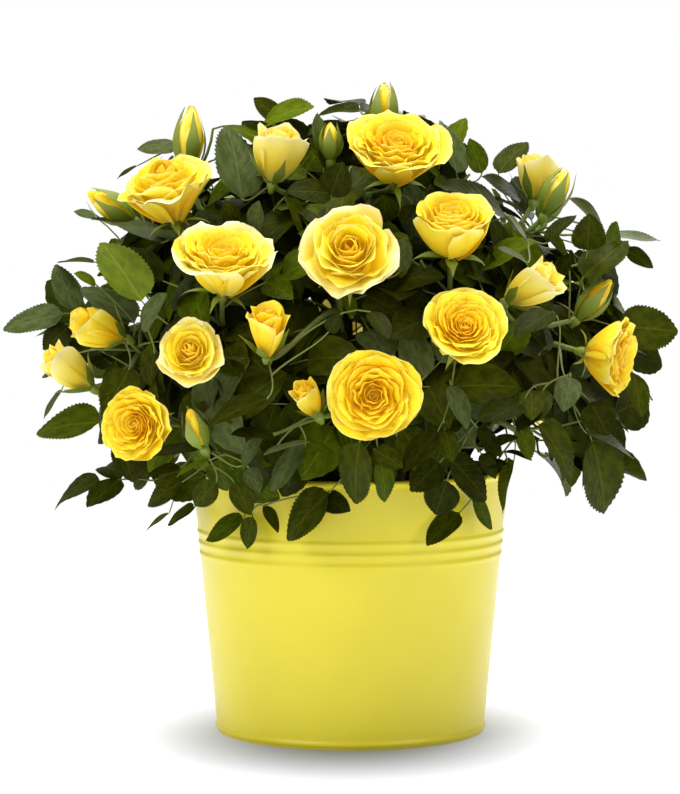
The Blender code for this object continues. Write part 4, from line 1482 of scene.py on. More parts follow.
    def add_green(self, batch: Batch, blade: Template, ball: Template) -> None:
        """Adds the five sepals and the hip under the bloom.

        Args:
            batch: The batch of the twigs.
            blade: The sepals' blade.
            ball: The tube that the hip is blown up from.
        """
        bloom, shape = self.bloom, self.bloom.shape
        size = bloom.across / 2
        tip_radius, tip_height, bend = shape.sepal
        for index in range(self.sepals):
            turn = (index + self.rng.uniform(-0.12, 0.12)) * math.tau / self.sepals
            foot = (self.hip_radius * 0.8, -self.sepal_out)
            tip = (
                size * tip_radius * self.rng.uniform(0.85, 1.15) + 2 * self.sepal_out,
                bloom.depth * tip_height * self.rng.uniform(0.9, 1.12),
            )
            line = Midline(foot, tip, bend + self.rng.uniform(-10, 10), self.rng.uniform(0, 30))
            opened = bloom.form in (Form.OPEN, Form.LOOSE)
            whole = self.bud_sepal_width if bloom.form is Form.BUD else self.sepal_width
            width = whole * (self.sepal_opened if opened else 1)
            places = self.sheet(blade, line, turn, Cut(width, self.sepal_curl))
            places = self.narrowed(places, blade, line, turn)
            batch.add(blade, places, StemKind.SEPAL.value)
        count = len(self.hip_radii)
        steps = np.linspace(0, 1, count) - 1 + self.hip_sunk
        points = [bloom.base + bloom.facing * self.hip_length * float(step) for step in steps]
        radii = [self.hip_radius * share for share in self.hip_radii]
        batch.add(ball, Line(points, radii).places(ball), StemKind.SEPAL.value)

    def narrowed(self, places: np.ndarray, blade: Template, line: Midline, turn: float) -> np.ndarray:
        """Draws a sepal in towards its middle line, to a fine tip.

        Args:
            places: Where the blade's vertices are.
            blade: The sepal's blade.
            line: Its middle line.
            turn: The way it points round the axis.

        Returns:
            Where the vertices go.
        """
        radius, height, _ = line.at(blade.along)
        middle = self.placed(np.stack([radius * math.cos(turn), radius * math.sin(turn), height], axis=1))
        share = np.interp(blade.along, self.sepal_stations, self.sepal_shares)[:, None]
        return middle + (places - middle) * share


@dataclass(frozen=True)
class Leaflet:
    """One leaflet.

    Attributes:
        root: Where it starts.
        aim: The way it points.
        up: The way its upper side faces.
        fold: How far its halves fold up, in radians.
        bend: How far it bends down on its way, in radians.
        wave: Where along the edge its ripple starts.
        rows: How many rows of faces it has, two for each tooth.
        tooth: How far its teeth stand out, as a share of its half width.
    """

    root: Vector
    aim: Vector
    up: Vector
    length: float
    width: float
    fold: float
    bend: float
    wave: float
    tint: LeafTint
    rows: int = 14
    tooth: float = 0.028

    STATIONS: ClassVar[tuple[float, ...]] = (0, 0.05, 0.14, 0.28, 0.42, 0.58, 0.74, 0.87, 0.95, 1)
    HALF_WIDTHS: ClassVar[tuple[float, ...]] = (0.05, 0.45, 0.79, 0.98, 1.00, 0.93, 0.74, 0.45, 0.21, 0.01)
    TOOTH_LEAN: ClassVar[float] = 0.012
    RIPPLE: ClassVar[float] = 0.022
    THICKNESS: ClassVar[float] = 0.00030

    def samples(self) -> np.ndarray:
        """Finds the leaflet's root, middle, tip and both sides.

        Returns:
            The five points, one row each.
        """
        side = self.aim.cross(self.up)
        middle = self.root + self.aim * self.length * 0.5
        tip = self.root + self.aim * self.length * math.cos(self.bend / 2)
        tip = tip - self.up * self.length * math.sin(self.bend / 2)
        half = side * self.width / 2
        return rows_of([self.root, middle, tip, middle + half, middle - half])

    def places(self, blade: Template) -> np.ndarray:
        """Bends a blade into the leaflet.

        Args:
            blade: The blade.

        Returns:
            Where each of the blade's vertices goes.
        """
        aside = np.abs(blade.across)
        half = np.interp(blade.along, self.STATIONS, self.HALF_WIDTHS) * self.width / 2
        rows = np.rint(blade.along * self.rows)
        toothed = (aside > 0.9) & (rows > 0) & (rows < self.rows)
        tooth = np.where(toothed, np.where(rows % 2 == 1, 1.0, -0.6), 0.0)
        sideways = blade.across * half * (1 + self.tooth * tooth)
        forward = blade.along + self.TOOTH_LEAN * tooth
        angle = self.bend * forward
        out = self.length * np.sin(angle) / self.bend
        drop = self.length * (1 - np.cos(angle)) / self.bend
        ripple = np.sin(blade.along * 8 + self.wave + blade.across * 1.3) * aside
        lift = np.abs(sideways) * math.tan(self.fold) + ripple * self.RIPPLE * self.width
        rise = lift - drop + blade.skin * self.THICKNESS
        side = np.array(tuple(self.aim.cross(self.up)))
        return (
            np.array(tuple(self.root))
            + out[:, None] * np.array(tuple(self.aim))
            + sideways[:, None] * side
            + rise[:, None] * np.array(tuple(self.up))
        )


@dataclass
class Leaf:
    """One compound leaf of a mass: the points of its stalk, the end leaflet, and those beside it."""

    mass: str
    stalk: list[Vector]
    leaflets: list[Leaflet] = field(default_factory=list)


@dataclass
class LeafMaker:
    """Makes compound leaves, in sizes as measured, by the random draws that it is given."""

    rng: random.Random

    terminal: Pair = (28 * MM, 39 * MM)
    widths: Pair = (0.60, 0.72)
    pair_sizes: Pair = (0.84, 0.66)
    pair_spread: Pair = (0.92, 1.06)
    pair_angle: Pair = (52, 74)
    pair_gap: float = 0.46
    pair_back: float = 0.75
    stalk_share: float = 0.40
    stalk_points: int = 6
    droop: float = -0.04
    folds: Pair = (4, 22)
    bends: Pair = (12, 46)
    sway: float = 0.16
    grey_sheen_share: float = 0.08
    tint_bounds: Triple = (0.40, 0.78, 1.02)

    def leaflet(self, root: Vector, aim: Vector, up: Vector, length: float, tint: LeafTint) -> Leaflet:
        """Makes one leaflet, a little off the way that it is asked to point.

        Args:
            root: Where it starts.
            aim: The way it points.
            up: The way its upper side faces.
            length: How long it is.
            tint: Its colour.

        Returns:
            The leaflet.
        """
        rng = self.rng
        aim = (aim + scatter(rng) * self.sway).normalized()
        up = square_to(aim, up + scatter(rng) * self.sway)
        return Leaflet(
            root, aim, up, length, length * rng.uniform(*self.widths),
            math.radians(rng.uniform(*self.folds)), math.radians(rng.uniform(*self.bends)),
            rng.uniform(0, math.tau), tint,
        )

    def tint(self, youth: float) -> LeafTint:
        """Picks a colour: mostly dark and olive leaves, and fresher ones at the tips.

        Args:
            youth: How young the leaf is.

        Returns:
            The colour.
        """
        # Some leaves take the grey-green tint, partly their own waxy bloom and partly a painted sheen
        if self.rng.random() < self.grey_sheen_share:
            return LeafTint.GREY
        draw = self.rng.random() + youth
        return LeafTint(sum(draw > bound for bound in self.tint_bounds))

    def leaf(
        self, mass: str, root: Vector, aim: Vector, up: Vector, length: float, pairs: int, youth: float
    ) -> Leaf:
        """Makes a compound leaf.

        Args:
            mass: The mass that it belongs to.
            root: Where its stalk starts.
            aim: The way it points.
            up: The way its upper side faces.
            length: How long its end leaflet is.
            pairs: How many pairs of leaflets it has.
            youth: How young the leaf is.

        Returns:
            The leaf.
        """
        tint = self.tint(youth)
        side = aim.cross(up)
        petiole = length * self.stalk_share
        spacing = length * self.pair_gap
        end = root + aim * (petiole + spacing * max(1, pairs))
        droop = up * self.droop * (petiole + spacing * pairs)
        stalk = curved(root, aim + up * 0.3, end + droop, aim - up * 0.2, self.stalk_points)
        leaf = Leaf(mass, stalk)
        leaf.leaflets.append(self.leaflet(stalk[-1], aim, up, length, tint))
        reach = length_of(stalk)
        for pair in range(pairs):
            place, _ = place_on(stalk, reach - spacing * (pair + self.pair_back))
            for way in (1, -1):
                angle = math.radians(self.rng.uniform(*self.pair_angle))
                turned = aim * math.cos(angle) + side * way * math.sin(angle)
                size = length * self.pair_sizes[pair] * self.rng.uniform(*self.pair_spread)
                leaf.leaflets.append(self.leaflet(place, turned, up, size, tint))
        return leaf


@dataclass
class Room:
    """The room that leaves and twigs may take beside the blooms and the pot.

    A bloom's space is a cup that opens from its foot, and some of the space in front of it.
    """

    blooms: list[Bloom]
    pot: "Pot"

    pot_clear: float = 2.5 * MM
    bloom_clear: float = 1.06
    cup_foot: float = 0.22
    cup_opened: float = 0.7
    cup_power: float = 0.7
    cup_reach: Pair = (-0.04, 1.06)
    front_clear: float = 0.80
    front_reach: float = 1.1
    view_clear: float = 0.84
    view_from: float = 0.35
    deepest_view: float = 6 * MM
    spacing: float = 8.5 * MM
    gap_width: float = 0.7
    shown_clear: float = 0.8

    def __post_init__(self) -> None:
        """Gathers the blooms' places and sizes in arrays."""
        self.bases = rows_of([bloom.base for bloom in self.blooms])
        self.facings = rows_of([bloom.facing for bloom in self.blooms])
        self.sizes = np.array([bloom.across / 2 for bloom in self.blooms])
        self.depths = np.array([bloom.depth for bloom in self.blooms])
        self.seen = np.arange(len(self.blooms)) < len(FRONT_BLOOMS)
        self.gaps = np.array(SIGHT_GAPS) * MM
        self.shown = np.empty((0, 6))
        self.taken: dict[tuple[int, int, int], list[np.ndarray]] = {}

    def clear(self, points: np.ndarray) -> bool:
        """Tells whether points are clear of the pot, of the blooms and of the view of them."""
        return self.off_pot(points) and self.off_blooms(points) and self.off_view(points)

    def under_dome(self, points: np.ndarray) -> bool:
        """Tells whether points lie under the outer dome of the crown.

        Args:
            points: The points, one row each.

        Returns:
            Whether all of them do.
        """
        away = points - np.array(tuple(CROWN_CENTRE))
        tall = np.where(away[:, 2] > 0, LEAF_DOME.z, LEAF_DOME_BELOW)
        spread = (away[:, 0] / LEAF_DOME.x) ** 2 + (away[:, 1] / LEAF_DOME.y) ** 2 + (away[:, 2] / tall) ** 2
        return bool((spread <= 1).all())

    def off_pot(self, points: np.ndarray) -> bool:
        """Tells whether points are clear of the pot and the soil.

        Args:
            points: The points, one row each.

        Returns:
            Whether all of them are.
        """
        radius = np.hypot(points[:, 0], points[:, 1])
        beside = radius > self.pot.wall_radius(points[:, 2]) + self.pot_clear
        above = points[:, 2] > self.pot.height + self.pot_clear
        inside = radius < self.pot.wall_radius(points[:, 2]) - 2 * self.pot_clear
        over_soil = inside & (points[:, 2] > self.pot.soil_top + self.pot_clear)
        return bool((beside | above | over_soil).all())

    def off_blooms(self, points: np.ndarray, own: int | None = None) -> bool:
        """Tells whether points are clear of the blooms and of the space in front of them.

        Args:
            points: The points, one row each.
            own: The bloom that the points may touch.

        Returns:
            Whether all of them are clear.
        """
        away = points[:, None, :] - self.bases[None]
        up = np.einsum("pbk,bk->pb", away, self.facings)
        radius = np.sqrt(np.maximum((away ** 2).sum(2) - up ** 2, 0)) / self.sizes
        height = up / self.depths
        opened = np.clip(height / self.cup_opened, 0, 1) ** self.cup_power
        wall = self.cup_foot + (1 - self.cup_foot) * opened
        low, high = self.cup_reach
        within = (height > low) & (height < high) & (radius < wall * self.bloom_clear)
        reach = self.depths + self.front_reach * self.sizes
        ahead = (height >= 1.0) & (up < reach) & (radius < self.front_clear)
        met = within | ahead
        if own is not None:
            met[:, own] = False
        return not met.any()

    def off_view(self, points: np.ndarray) -> bool:
        """Tells whether points leave free the way from the eye to the blooms in front.

        Args:
            points: The points, one row each.

        Returns:
            Whether all of them do.
        """
        tops = self.bases + self.facings * self.depths[:, None]
        lows = self.bases + self.facings * self.depths[:, None] * self.view_from
        depth = (self.bases[:, 1] + tops[:, 1]) / 2
        start, end = self.flat(lows, depth), self.flat(tops, depth)
        hides = apart(self.flat(points[:, None], depth), start, end - start) < self.sizes * self.view_clear
        hides &= points[:, None, 1] < depth + self.deepest_view
        return not (hides & self.seen).any()

    def flat(self, points: np.ndarray, depth: float | np.ndarray = 0.0) -> np.ndarray:
        """Finds where the eye sees points in a plane at a depth, that of the axis or another.

        Args:
            points: The points, one row each.
            depth: The plane's depth, one or one for each point.

        Returns:
            Right and up of each point.
        """
        eye = np.array(tuple(EYE))
        share = (depth - eye[1]) / (points[..., 1] - eye[1])
        return (eye + (points - eye) * share[..., None])[..., [0, 2]]

    def show(self, leaflet: "Leaflet") -> None:
        """Keeps the way from the eye to a leaflet free.

        Args:
            leaflet: The leaflet.
        """
        rows = leaflet.samples()
        seen = self.flat(rows)
        half = np.linalg.norm(seen[3] - seen[4]) / 2
        self.shown = np.vstack([self.shown, (*seen[0], *seen[2], half * self.shown_clear, rows[1, 1])])

    def off_shown(self, points: np.ndarray) -> bool:
        """Tells whether points leave free the way from the eye to the leaves that stand out.

        Args:
            points: The points, one row each.

        Returns:
            Whether all of them do.
        """
        starts, ends, halves, depths = np.split(self.shown, (2, 4, 5), axis=1)
        near = apart(self.flat(points)[:, None], starts, ends - starts) < halves[:, 0]
        return not (near & (points[:, 1, None] < depths[:, 0])).any()

    def off_gaps(self, leaflet: "Leaflet") -> bool:
        """Tells whether a leaflet leaves free the gaps that the eye sees through.

        Args:
            leaflet: The leaflet.

        Returns:
            Whether it does.
        """
        seen = self.flat(leaflet.samples())
        root, tip, half = seen[0], seen[2], seen[3:]
        line = tip - root
        across = np.array((-line[1], line[0])) / max(np.linalg.norm(line), MERGE_DISTANCE)
        width = np.abs((half - root) @ across).max()
        away = apart(self.gaps[:, None, :2], root, line[None])[:, 0]
        return bool((away > width * self.gap_width + self.gaps[:, 2]).all())

    def free(self, point: np.ndarray) -> bool:
        """Tells whether no leaflet has its middle close to a point.

        Args:
            point: The point.

        Returns:
            Whether none is near.
        """
        home = tuple(int(v) for v in np.floor(point / self.spacing))
        for step in product((-1, 0, 1), repeat=3):
            near = self.taken.get(tuple(a + b for a, b in zip(home, step)), ())
            if any(np.linalg.norm(point - other) < self.spacing for other in near):
                return False
        return True

    def take(self, point: np.ndarray) -> None:
        """Marks a point as the middle of a leaflet."""
        home = tuple(int(v) for v in np.floor(point / self.spacing))
        self.taken.setdefault(home, []).append(point)


@dataclass(frozen=True)
class Shoot:
    """A twig of a mass, whose end bears no leaves over a bare length.

    A fine one is only there for its leaves.
    """

    mass: str
    line: Line
    bare: float
    fine: bool = False


def nearest_heart(place: Vector, masses: list[str]) -> str:
    """Finds the mass whose heart lies nearest to the same way from the crown's centre."""
    way = place - CROWN_CENTRE
    return min(masses, key=lambda mass: way.angle(Vector(HEARTS[mass]) * MM - CROWN_CENTRE))


def dome_point(dome: Vector, turn: float, height: float) -> Vector:
    """Finds a point of a dome.

    Args:
        dome: The dome's half sizes.
        turn: The turn round the axis.
        height: The height, from -1 to 1.

    Returns:
        The point.
    """
    level = math.sqrt(1 - height * height)
    around = Vector((level * math.cos(turn), level * math.sin(turn), height))
    return CROWN_CENTRE + Vector(a * b for a, b in zip(dome, around))


@dataclass(frozen=True)
class Tip:
    """A leaf tip on the crown's outline, the ways its leaf points and faces, and its leaflet's length."""

    mass: str
    place: Vector
    facing: Vector
    up: Vector
    length: float


@dataclass
class Plan:
    """Where the blooms, leaf tips and leafy ends of the crown are.

    The blooms of the back take two steps that spread them evenly up and round the dome. The tips
    stand in rings of (radius, height, how much the leaf hangs). The leafy ends lie deeper in
    where a bloom stands.
    """

    back_from: float = 20 * MM
    bloom_count: int = 15
    bloom_from: float = 64 * MM
    bloom_aside: float = 108 * MM
    bloom_spacing: float = 46 * MM
    height_step: float = 0.5698403
    turn_step: float = 0.7548777
    highest: float = 0.80
    lowest: float = -0.20
    tries: int = 400
    facing_up: Pair = (0.2, 0.7)
    sizes: Pair = (0.92, 1.08)
    forms: tuple[tuple[Form, int], ...] = (
        (Form.OPEN, 54), (Form.HALF, 28), (Form.LOOSE, 48), (Form.BUD, 17), (Form.CUP, 47)
    )
    warmths: tuple[float, ...] = (0.45, 0.60, 0.35, 0.55, 0.70, 0.40)
    tip_count: int = 11
    tip_rings: tuple[Triple, ...] = (
        (0.168, 0.135, 0.9), (0.146, 0.180, 0.2), (0.168, 0.118, 0.9), (0.146, 0.225, 0.2)
    )
    tip_length: float = 34 * MM
    end_count: int = 46
    end_highest: float = 0.93
    end_lowest: float = -0.52
    end_spacing: float = 30 * MM
    end_depth: float = 0.80
    end_depth_behind: float = 0.56
    back: list[str] = field(init=False)
    blooms: list[Bloom] = field(init=False)
    tips: list[Tip] = field(init=False)
    ends: list[tuple[str, Vector]] = field(init=False)

    def __post_init__(self) -> None:
        """Lays out the whole crown."""
        self.back = [mass for mass, heart in HEARTS.items() if heart[1] * MM > self.back_from]
        self.blooms = self.front_blooms()
        self.add_back_blooms()
        self.tips = self.make_tips()
        self.ends = self.make_ends()

    def front_blooms(self) -> list[Bloom]:
        """Places the blooms that show in front.

        Returns:
            The blooms.
        """
        blooms = []
        for mass, form, right, up, depth, across, facing, warmth in FRONT_BLOOMS:
            centre, share = in_depth(right, up, depth)
            facing = Vector(facing).normalized()
            blooms.append(Bloom(mass, form, across * share * MM, facing, centre, warmth))
        return blooms

    def add_back_blooms(self) -> None:
        """Spreads the blooms of the back evenly, where the front doesn't see them."""
        rng = random.Random("back blooms")
        made = 0
        for index in range(self.tries):
            share = (index * self.height_step) % 1
            height = self.highest + (self.lowest - self.highest) * share
            place = dome_point(BLOOM_DOME, math.tau * index * self.turn_step, height)
            in_sight = place.y < self.bloom_from or abs(place.x) > self.bloom_aside
            crowded = min((place - bloom.centre).length for bloom in self.blooms) < self.bloom_spacing
            if made == self.bloom_count or in_sight or crowded:
                continue
            form, across = self.forms[made % len(self.forms)]
            facing = (place - CROWN_CENTRE).normalized() + UP * rng.uniform(*self.facing_up)
            size = across * rng.uniform(*self.sizes) * MM
            mass = nearest_heart(place, self.back)
            warmth = self.warmths[made % len(self.warmths)]
            self.blooms.append(Bloom(mass, form, size, facing.normalized(), place, warmth))
            made += 1

    def make_tips(self) -> list[Tip]:
        """Places the leaf tips that stand out round the back.

        Returns:
            The tips.
        """
        tips = []
        for index in range(self.tip_count):
            turn = math.pi * (index + 0.5) / self.tip_count
            radius, height, hang = self.tip_rings[index % len(self.tip_rings)]
            out = Vector((math.cos(turn), math.sin(turn), 0))
            place = out * radius + UP * height
            facing = (out - UP * hang * math.sin(turn) ** 2).normalized()
            up = UP + out * math.sin(turn) + TO_FRONT * 1.5 * abs(math.cos(turn))
            tips.append(Tip(nearest_heart(place, self.back), place, facing, up, self.tip_length))
        return tips

    def make_ends(self) -> list[tuple[str, Vector]]:
        """Places the ends of the leafy shoots, deeper in behind the blooms.

        Returns:
            The mass and the place of each end.
        """
        ends = []
        for index in range(self.end_count):
            height = self.end_highest + (self.end_lowest - self.end_highest) * (index + 0.5) / self.end_count
            outer = dome_point(BLOOM_DOME, index * GOLDEN, height)
            behind = min((outer - bloom.centre).length for bloom in self.blooms) < self.end_spacing
            depth = self.end_depth_behind if behind else self.end_depth
            place = dome_point(BLOOM_DOME * depth, index * GOLDEN, height)
            ends.append((nearest_heart(place, list(HEARTS)), place))
        return ends


@dataclass
class Pot:
    """The painted sheet metal pot and the soil in it."""

    height: float = 144 * MM
    foot_radius: float = 73.6 * MM
    flare: float = 0.0945
    wall: float = 1.2 * MM
    floor: float = 2 * MM
    steps: int = 144
    rim_roll: float = 1.6 * MM
    rim_roll_out: float = 0.6 * MM
    rim_roll_inside: float = 3.5 * MM
    rim_roll_outside: float = 4.2 * MM
    rim_roll_turn: Pair = (178, -78)
    rim_roll_steps: int = 14
    ribs: Triple = (110 * MM, 104 * MM, 98 * MM)
    rib_width: float = 5.0 * MM
    rib_proud: float = 0.6 * MM
    bead_height: float = 2.6 * MM
    bead_proud: float = 0.9 * MM
    bump_steps: int = 8
    soil_top: float = 128 * MM
    sharp: float = 40
    paint: PotPaint = PotPaint()

    def wall_radius(self, height: float | np.ndarray) -> float | np.ndarray:
        """The outer radius of the plain wall at a height."""
        return self.foot_radius + self.flare * height

    def bump(self, middle: float, width: float, proud: float) -> list[Pair]:
        """Makes the section of a round bead on the wall, from the top down.

        Args:
            middle: The height of its middle.
            width: Its height from end to end.
            proud: How far it stands out.

        Returns:
            Its points, as (radius, height).
        """
        points = []
        for step in range(self.bump_steps + 1):
            share = step / self.bump_steps
            height = middle + width * (0.5 - share)
            points.append((self.wall_radius(height) + proud * math.sin(math.pi * share) ** 2, height))
        return points

    def section(self) -> list[Pair]:
        """Makes the pot's section, from the middle of the floor up and over the rim to the foot.

        Returns:
            Its points, as (radius, height).
        """
        roll_height = self.height - self.rim_roll
        roll_radius = self.wall_radius(roll_height) + self.rim_roll_out
        inner_top = self.height - self.rim_roll_inside
        points = [
            (0, self.floor),
            (self.wall_radius(self.floor) - self.wall, self.floor),
            (self.wall_radius(inner_top) - self.wall, inner_top),
        ]
        for turn in tapered(*self.rim_roll_turn, self.rim_roll_steps + 1):
            angle = math.radians(turn)
            points.append((
                roll_radius + self.rim_roll * math.cos(angle), roll_height + self.rim_roll * math.sin(angle)
            ))
        under_roll = self.height - self.rim_roll_outside
        points.append((self.wall_radius(under_roll), under_roll))
        for height in self.ribs:
            points += self.bump(height, self.rib_width, self.rib_proud)
        return points + self.bump(self.bead_height, 2 * self.bead_height, self.bead_proud) + [(0, 0)]

    def spun(self, name: str, section: list[Pair], steps: int) -> bmesh.types.BMesh:
        """Spins a section round the pot's axis.

        Args:
            name: What the shape is called in the log.
            section: The section, as (radius, height).
            steps: How many faces it has round.

        Returns:
            The closed shape.
        """
        shape = bmesh.new()
        verts = [shape.verts.new((radius, 0, height)) for radius, height in section]
        edges = [shape.edges.new(pair) for pair in zip(verts, verts[1:])]
        bmesh.ops.spin(
            shape, geom=verts + edges, cent=(0, 0, 0), axis=(0, 0, 1), dvec=(0, 0, 0),
            angle=math.tau, steps=steps, use_merge=True, use_duplicate=False,
        )
        bmesh.ops.remove_doubles(shape, verts=shape.verts, dist=MERGE_DISTANCE)
        bmesh.ops.recalc_face_normals(shape, faces=shape.faces)
        LOG.info("%s: spun into %d faces", name, len(shape.faces))
        return shape

    def build(self) -> None:
        """Builds the pot and lets it stand for its node."""
        shape = self.spun("pot", self.section(), self.steps)
        dress(shaped("pot_shell", shape, self.paint.build(), self.sharp), "pot_paint", "pot")


@dataclass
class Soil:
    """The crumbly potting soil, level in the middle and a little lower at the wall."""

    pot: Pot

    edge_top: float = 125 * MM
    level_radius: float = 55 * MM
    gap: float = 0.3 * MM
    steps: int = 96
    rings: int = 22
    rough: float = 1.2 * MM
    lumps: tuple[Pair, ...] = ((160, 1.0), (420, 0.6))
    crumbs: int = 420
    crumb_sizes: Pair = (0.8 * MM, 2.4 * MM)
    crumbs_within: float = 3 * MM
    crumb_rise: float = 0.2
    finish: GrainFinish = EARTH

    def top(self, radius: float, edge: float) -> float:
        """Finds the height of the soil at a radius, where its edge has the given one."""
        fall = max(0.0, radius - self.level_radius) / (edge - self.level_radius)
        return self.pot.soil_top + (self.edge_top - self.pot.soil_top) * fall

    def section(self) -> list[Pair]:
        """Makes the soil's section, from the middle of its top to the middle of its underside.

        Returns:
            Its points, as (radius, height).
        """
        pot = self.pot
        edge = pot.wall_radius(self.edge_top) - pot.wall - self.gap
        bottom = pot.floor + self.gap
        radii = [edge * ring / self.rings for ring in range(self.rings + 1)]
        points = [(radius, self.top(radius, edge)) for radius in radii]
        return points + [(pot.wall_radius(bottom) - pot.wall - self.gap, bottom), (0, bottom)]

    def build(self) -> None:
        """Builds the soil with its crumbs and lets it stand for its node."""
        shape = self.pot.spun("soil", self.section(), self.steps)
        edge = self.pot.wall_radius(self.edge_top) - self.pot.wall - 2 * self.gap
        for vert in shape.verts:
            radius = math.hypot(vert.co.x, vert.co.y)
            if vert.co.z > self.edge_top - self.gap and radius < edge - self.gap:
                vert.co.z += sum(
                    share * self.rough * noise.noise(vert.co * size) for size, share in self.lumps
                )
        rng = random.Random("crumbs")
        for _ in range(self.crumbs):
            turn = rng.uniform(0, math.tau)
            radius = (edge - self.crumbs_within) * math.sqrt(rng.random())
            size = rng.uniform(*self.crumb_sizes)
            height = self.top(radius, edge) + self.crumb_rise * size
            place = Matrix.Translation((radius * math.cos(turn), radius * math.sin(turn), height))
            tilt = Matrix.Rotation(rng.uniform(0, math.pi), 4, scatter(rng).normalized())
            squash = Matrix.Diagonal((size, size * rng.uniform(0.6, 1), size * rng.uniform(0.5, 0.8), 1))
            bmesh.ops.create_icosphere(shape, subdivisions=1, radius=1, matrix=place @ tilt @ squash)
        dress(shaped("potting_soil", shape, self.finish.build()), "soil", "soil")


@dataclass
class Crown:
    """The plant above the soil: bark, twigs, leaves and blooms."""

    plan: Plan
    pot: Pot

    gap: float = 0.3 * MM
    clear: float = 0.5 * MM
    cane_flare_radius: float = 6.6 * MM
    cane_flare_height: float = 9 * MM
    cane_radius: float = 4.0 * MM
    cane_tip_radius: float = 2.6 * MM
    cane_points: int = 7
    bough_shares: Pair = (0.62, 0.84)
    bough_reach: float = 0.56
    bough_radius: float = 2.0 * MM
    bough_tip_radius: float = 1.4 * MM
    bough_points: int = 5
    bough_rise: float = 0.7
    bough_lift: float = 10 * MM
    limb_sides: int = 14
    limb_step: float = 2.2 * MM
    limb_sharp: float = 50
    bark: GrainFinish = BARK
    bark_relief: float = 0.22 * MM
    bark_knots: Triple = (500, 500, 90)
    bark_bumps: Pair = (240, 0.6)
    prickle: float = 2.6 * MM
    prickle_sunk: float = 0.4 * MM
    prickle_drop: float = 0.35
    prickle_radii: Triple = (0.45, 0.22, 0.03)
    prickle_tube: tuple[int, int] = (6, 3)
    prickle_step: float = 11 * MM
    prickle_steps: Pair = (0.7, 1.5)
    prickles_between: Pair = (14 * MM, 6 * MM)
    stem_radius: float = 1.9 * MM
    stem_tip_radius: float = 1.3 * MM
    stem_sides: int = 6
    stem_tries: int = 40
    stem_bend: float = 0.05
    stem_lead: float = 3.0 * MM
    sink: float = 3.0 * MM
    shoot_points: int = 13
    join_shares: tuple[float, ...] = (0.20, 0.34, 0.12, 0.46, 0.28, 0.54)
    bare_end: float = 16 * MM
    twig_shares: Pair = (0.52, 0.80)
    twig_lengths: Pair = (20 * MM, 34 * MM)
    twig_radius: float = 1.0 * MM
    twig_tip_radius: float = 0.7 * MM
    twig_points: int = 6
    leaf_steps: Pair = (9 * MM, 13 * MM)
    first_leaf: float = 6 * MM
    leaf_tries: int = 7
    leaf_forward: Pair = (0.1, 0.8)
    leaf_outward: Pair = (0.0, 0.7)
    leaf_up: float = 0.45
    leaf_sway: float = 0.25
    leaf_pairs: tuple[int, ...] = (1, 1, 2)
    youth: float = 0.16
    tip_youth: float = 0.12
    stalk_radius: float = 0.6 * MM
    stalk_taper: Pair = (1.2, 0.7)
    stalk_sides: int = 4
    stalk_turn: float = 1.8
    stalk_choices: int = 80
    # The leaves that stand out in front
    shown_shares: Pair = (0.88, 0.97)
    shown_outside: float = 15 * MM
    shown_off_pot: float = 11 * MM
    shown_slope: float = 0.30
    shown_width: float = 0.60
    shown_bends: Pair = (8, 22)
    shown_folds: Pair = (3, 14)
    shown_step: float = 5 * MM
    shown_sway: float = 2
    shown_tries: int = 26
    shown_rows: int = 34
    shown_tooth: float = 0.048
    # Faces across and along the blades of sepals, and of a bud's, inner and outer petals
    sepal_blade: tuple[int, int] = (2, 7)
    petal_blades: tuple[tuple[int, int], ...] = ((6, 8), (8, 8), (14, 10))
    hip_sides: int = 10
    heart_sides: int = 14

    limbs: dict[str, Line] = field(default_factory=dict)
    starts: dict[str, tuple[Vector, Vector]] = field(default_factory=dict)
    shoots: list[Shoot] = field(default_factory=list)
    leaves: list[Leaf] = field(default_factory=list)
    balls: list[tuple[str, Vector, float]] = field(default_factory=list)

    def __post_init__(self) -> None:
        """Works out the room for leaves."""
        self.room = Room(self.plan.blooms, self.pot)

    def grow(self) -> None:
        """Grows the whole crown: limbs, shoots, twigs, then leaves."""
        self.add_limbs()
        self.add_shoots()
        self.add_shown_leaves()
        self.add_twigs()
        self.add_tip_leaves()
        self.add_leaves()
        leaflets = sum(len(leaf.leaflets) for leaf in self.leaves)
        LOG.info("crown: %d shoots, %d leaves, %d leaflets", len(self.shoots), len(self.leaves), leaflets)

    def blocked(self, points: list[Vector], radius: float, owner: str) -> bool:
        """Tells whether a stem would touch a limb, or a shoot of another mass.

        Args:
            points: The stem's points.
            radius: The stem's radius.
            owner: The mass whose own shoots it may touch.

        Returns:
            Whether it touches one.
        """
        for other, place, size in self.balls:
            reach = size + radius + self.clear
            if other != owner and any((point - place).length < reach for point in points):
                return True
        return False

    def clear_curve(
        self, start: Vector, leave: Vector, end: Vector, arrive: Vector, count: int, owner: str,
        own: int | None = None,
    ) -> list[Vector]:
        """Makes a curve that is bent a little more at each try until it is clear.

        Args:
            start: The first point.
            leave: The direction there.
            end: The last point.
            arrive: The direction there.
            count: How many points it has.
            owner: The mass that it belongs to.
            own: The bloom that it carries.

        Returns:
            The points.
        """
        rng = random.Random(f"{owner} {start.x:.4f} {end.x:.4f} {end.z:.4f}")
        for attempt in range(self.stem_tries):
            first = leave + scatter(rng) * attempt * self.stem_bend
            last = arrive + scatter(rng) * attempt * self.stem_bend
            lead = start + leave.normalized() * self.stem_lead
            points = [start] + curved(lead, first, end, last, count - 1)
            rows = rows_of(points[2:])
            clear = self.room.off_pot(rows) and self.room.off_blooms(rows, own)
            if clear and not self.blocked(points[2:], self.stem_radius, owner):
                return points
        return [start] + curved(start + leave.normalized() * self.stem_lead, leave, end, arrive, count - 1)

    def keep_clear_of(self, owner: str, line: Line) -> None:
        """Marks a stem's space as taken."""
        for point, radius in zip(line.points, line.radii):
            self.balls.append((owner, point, radius))

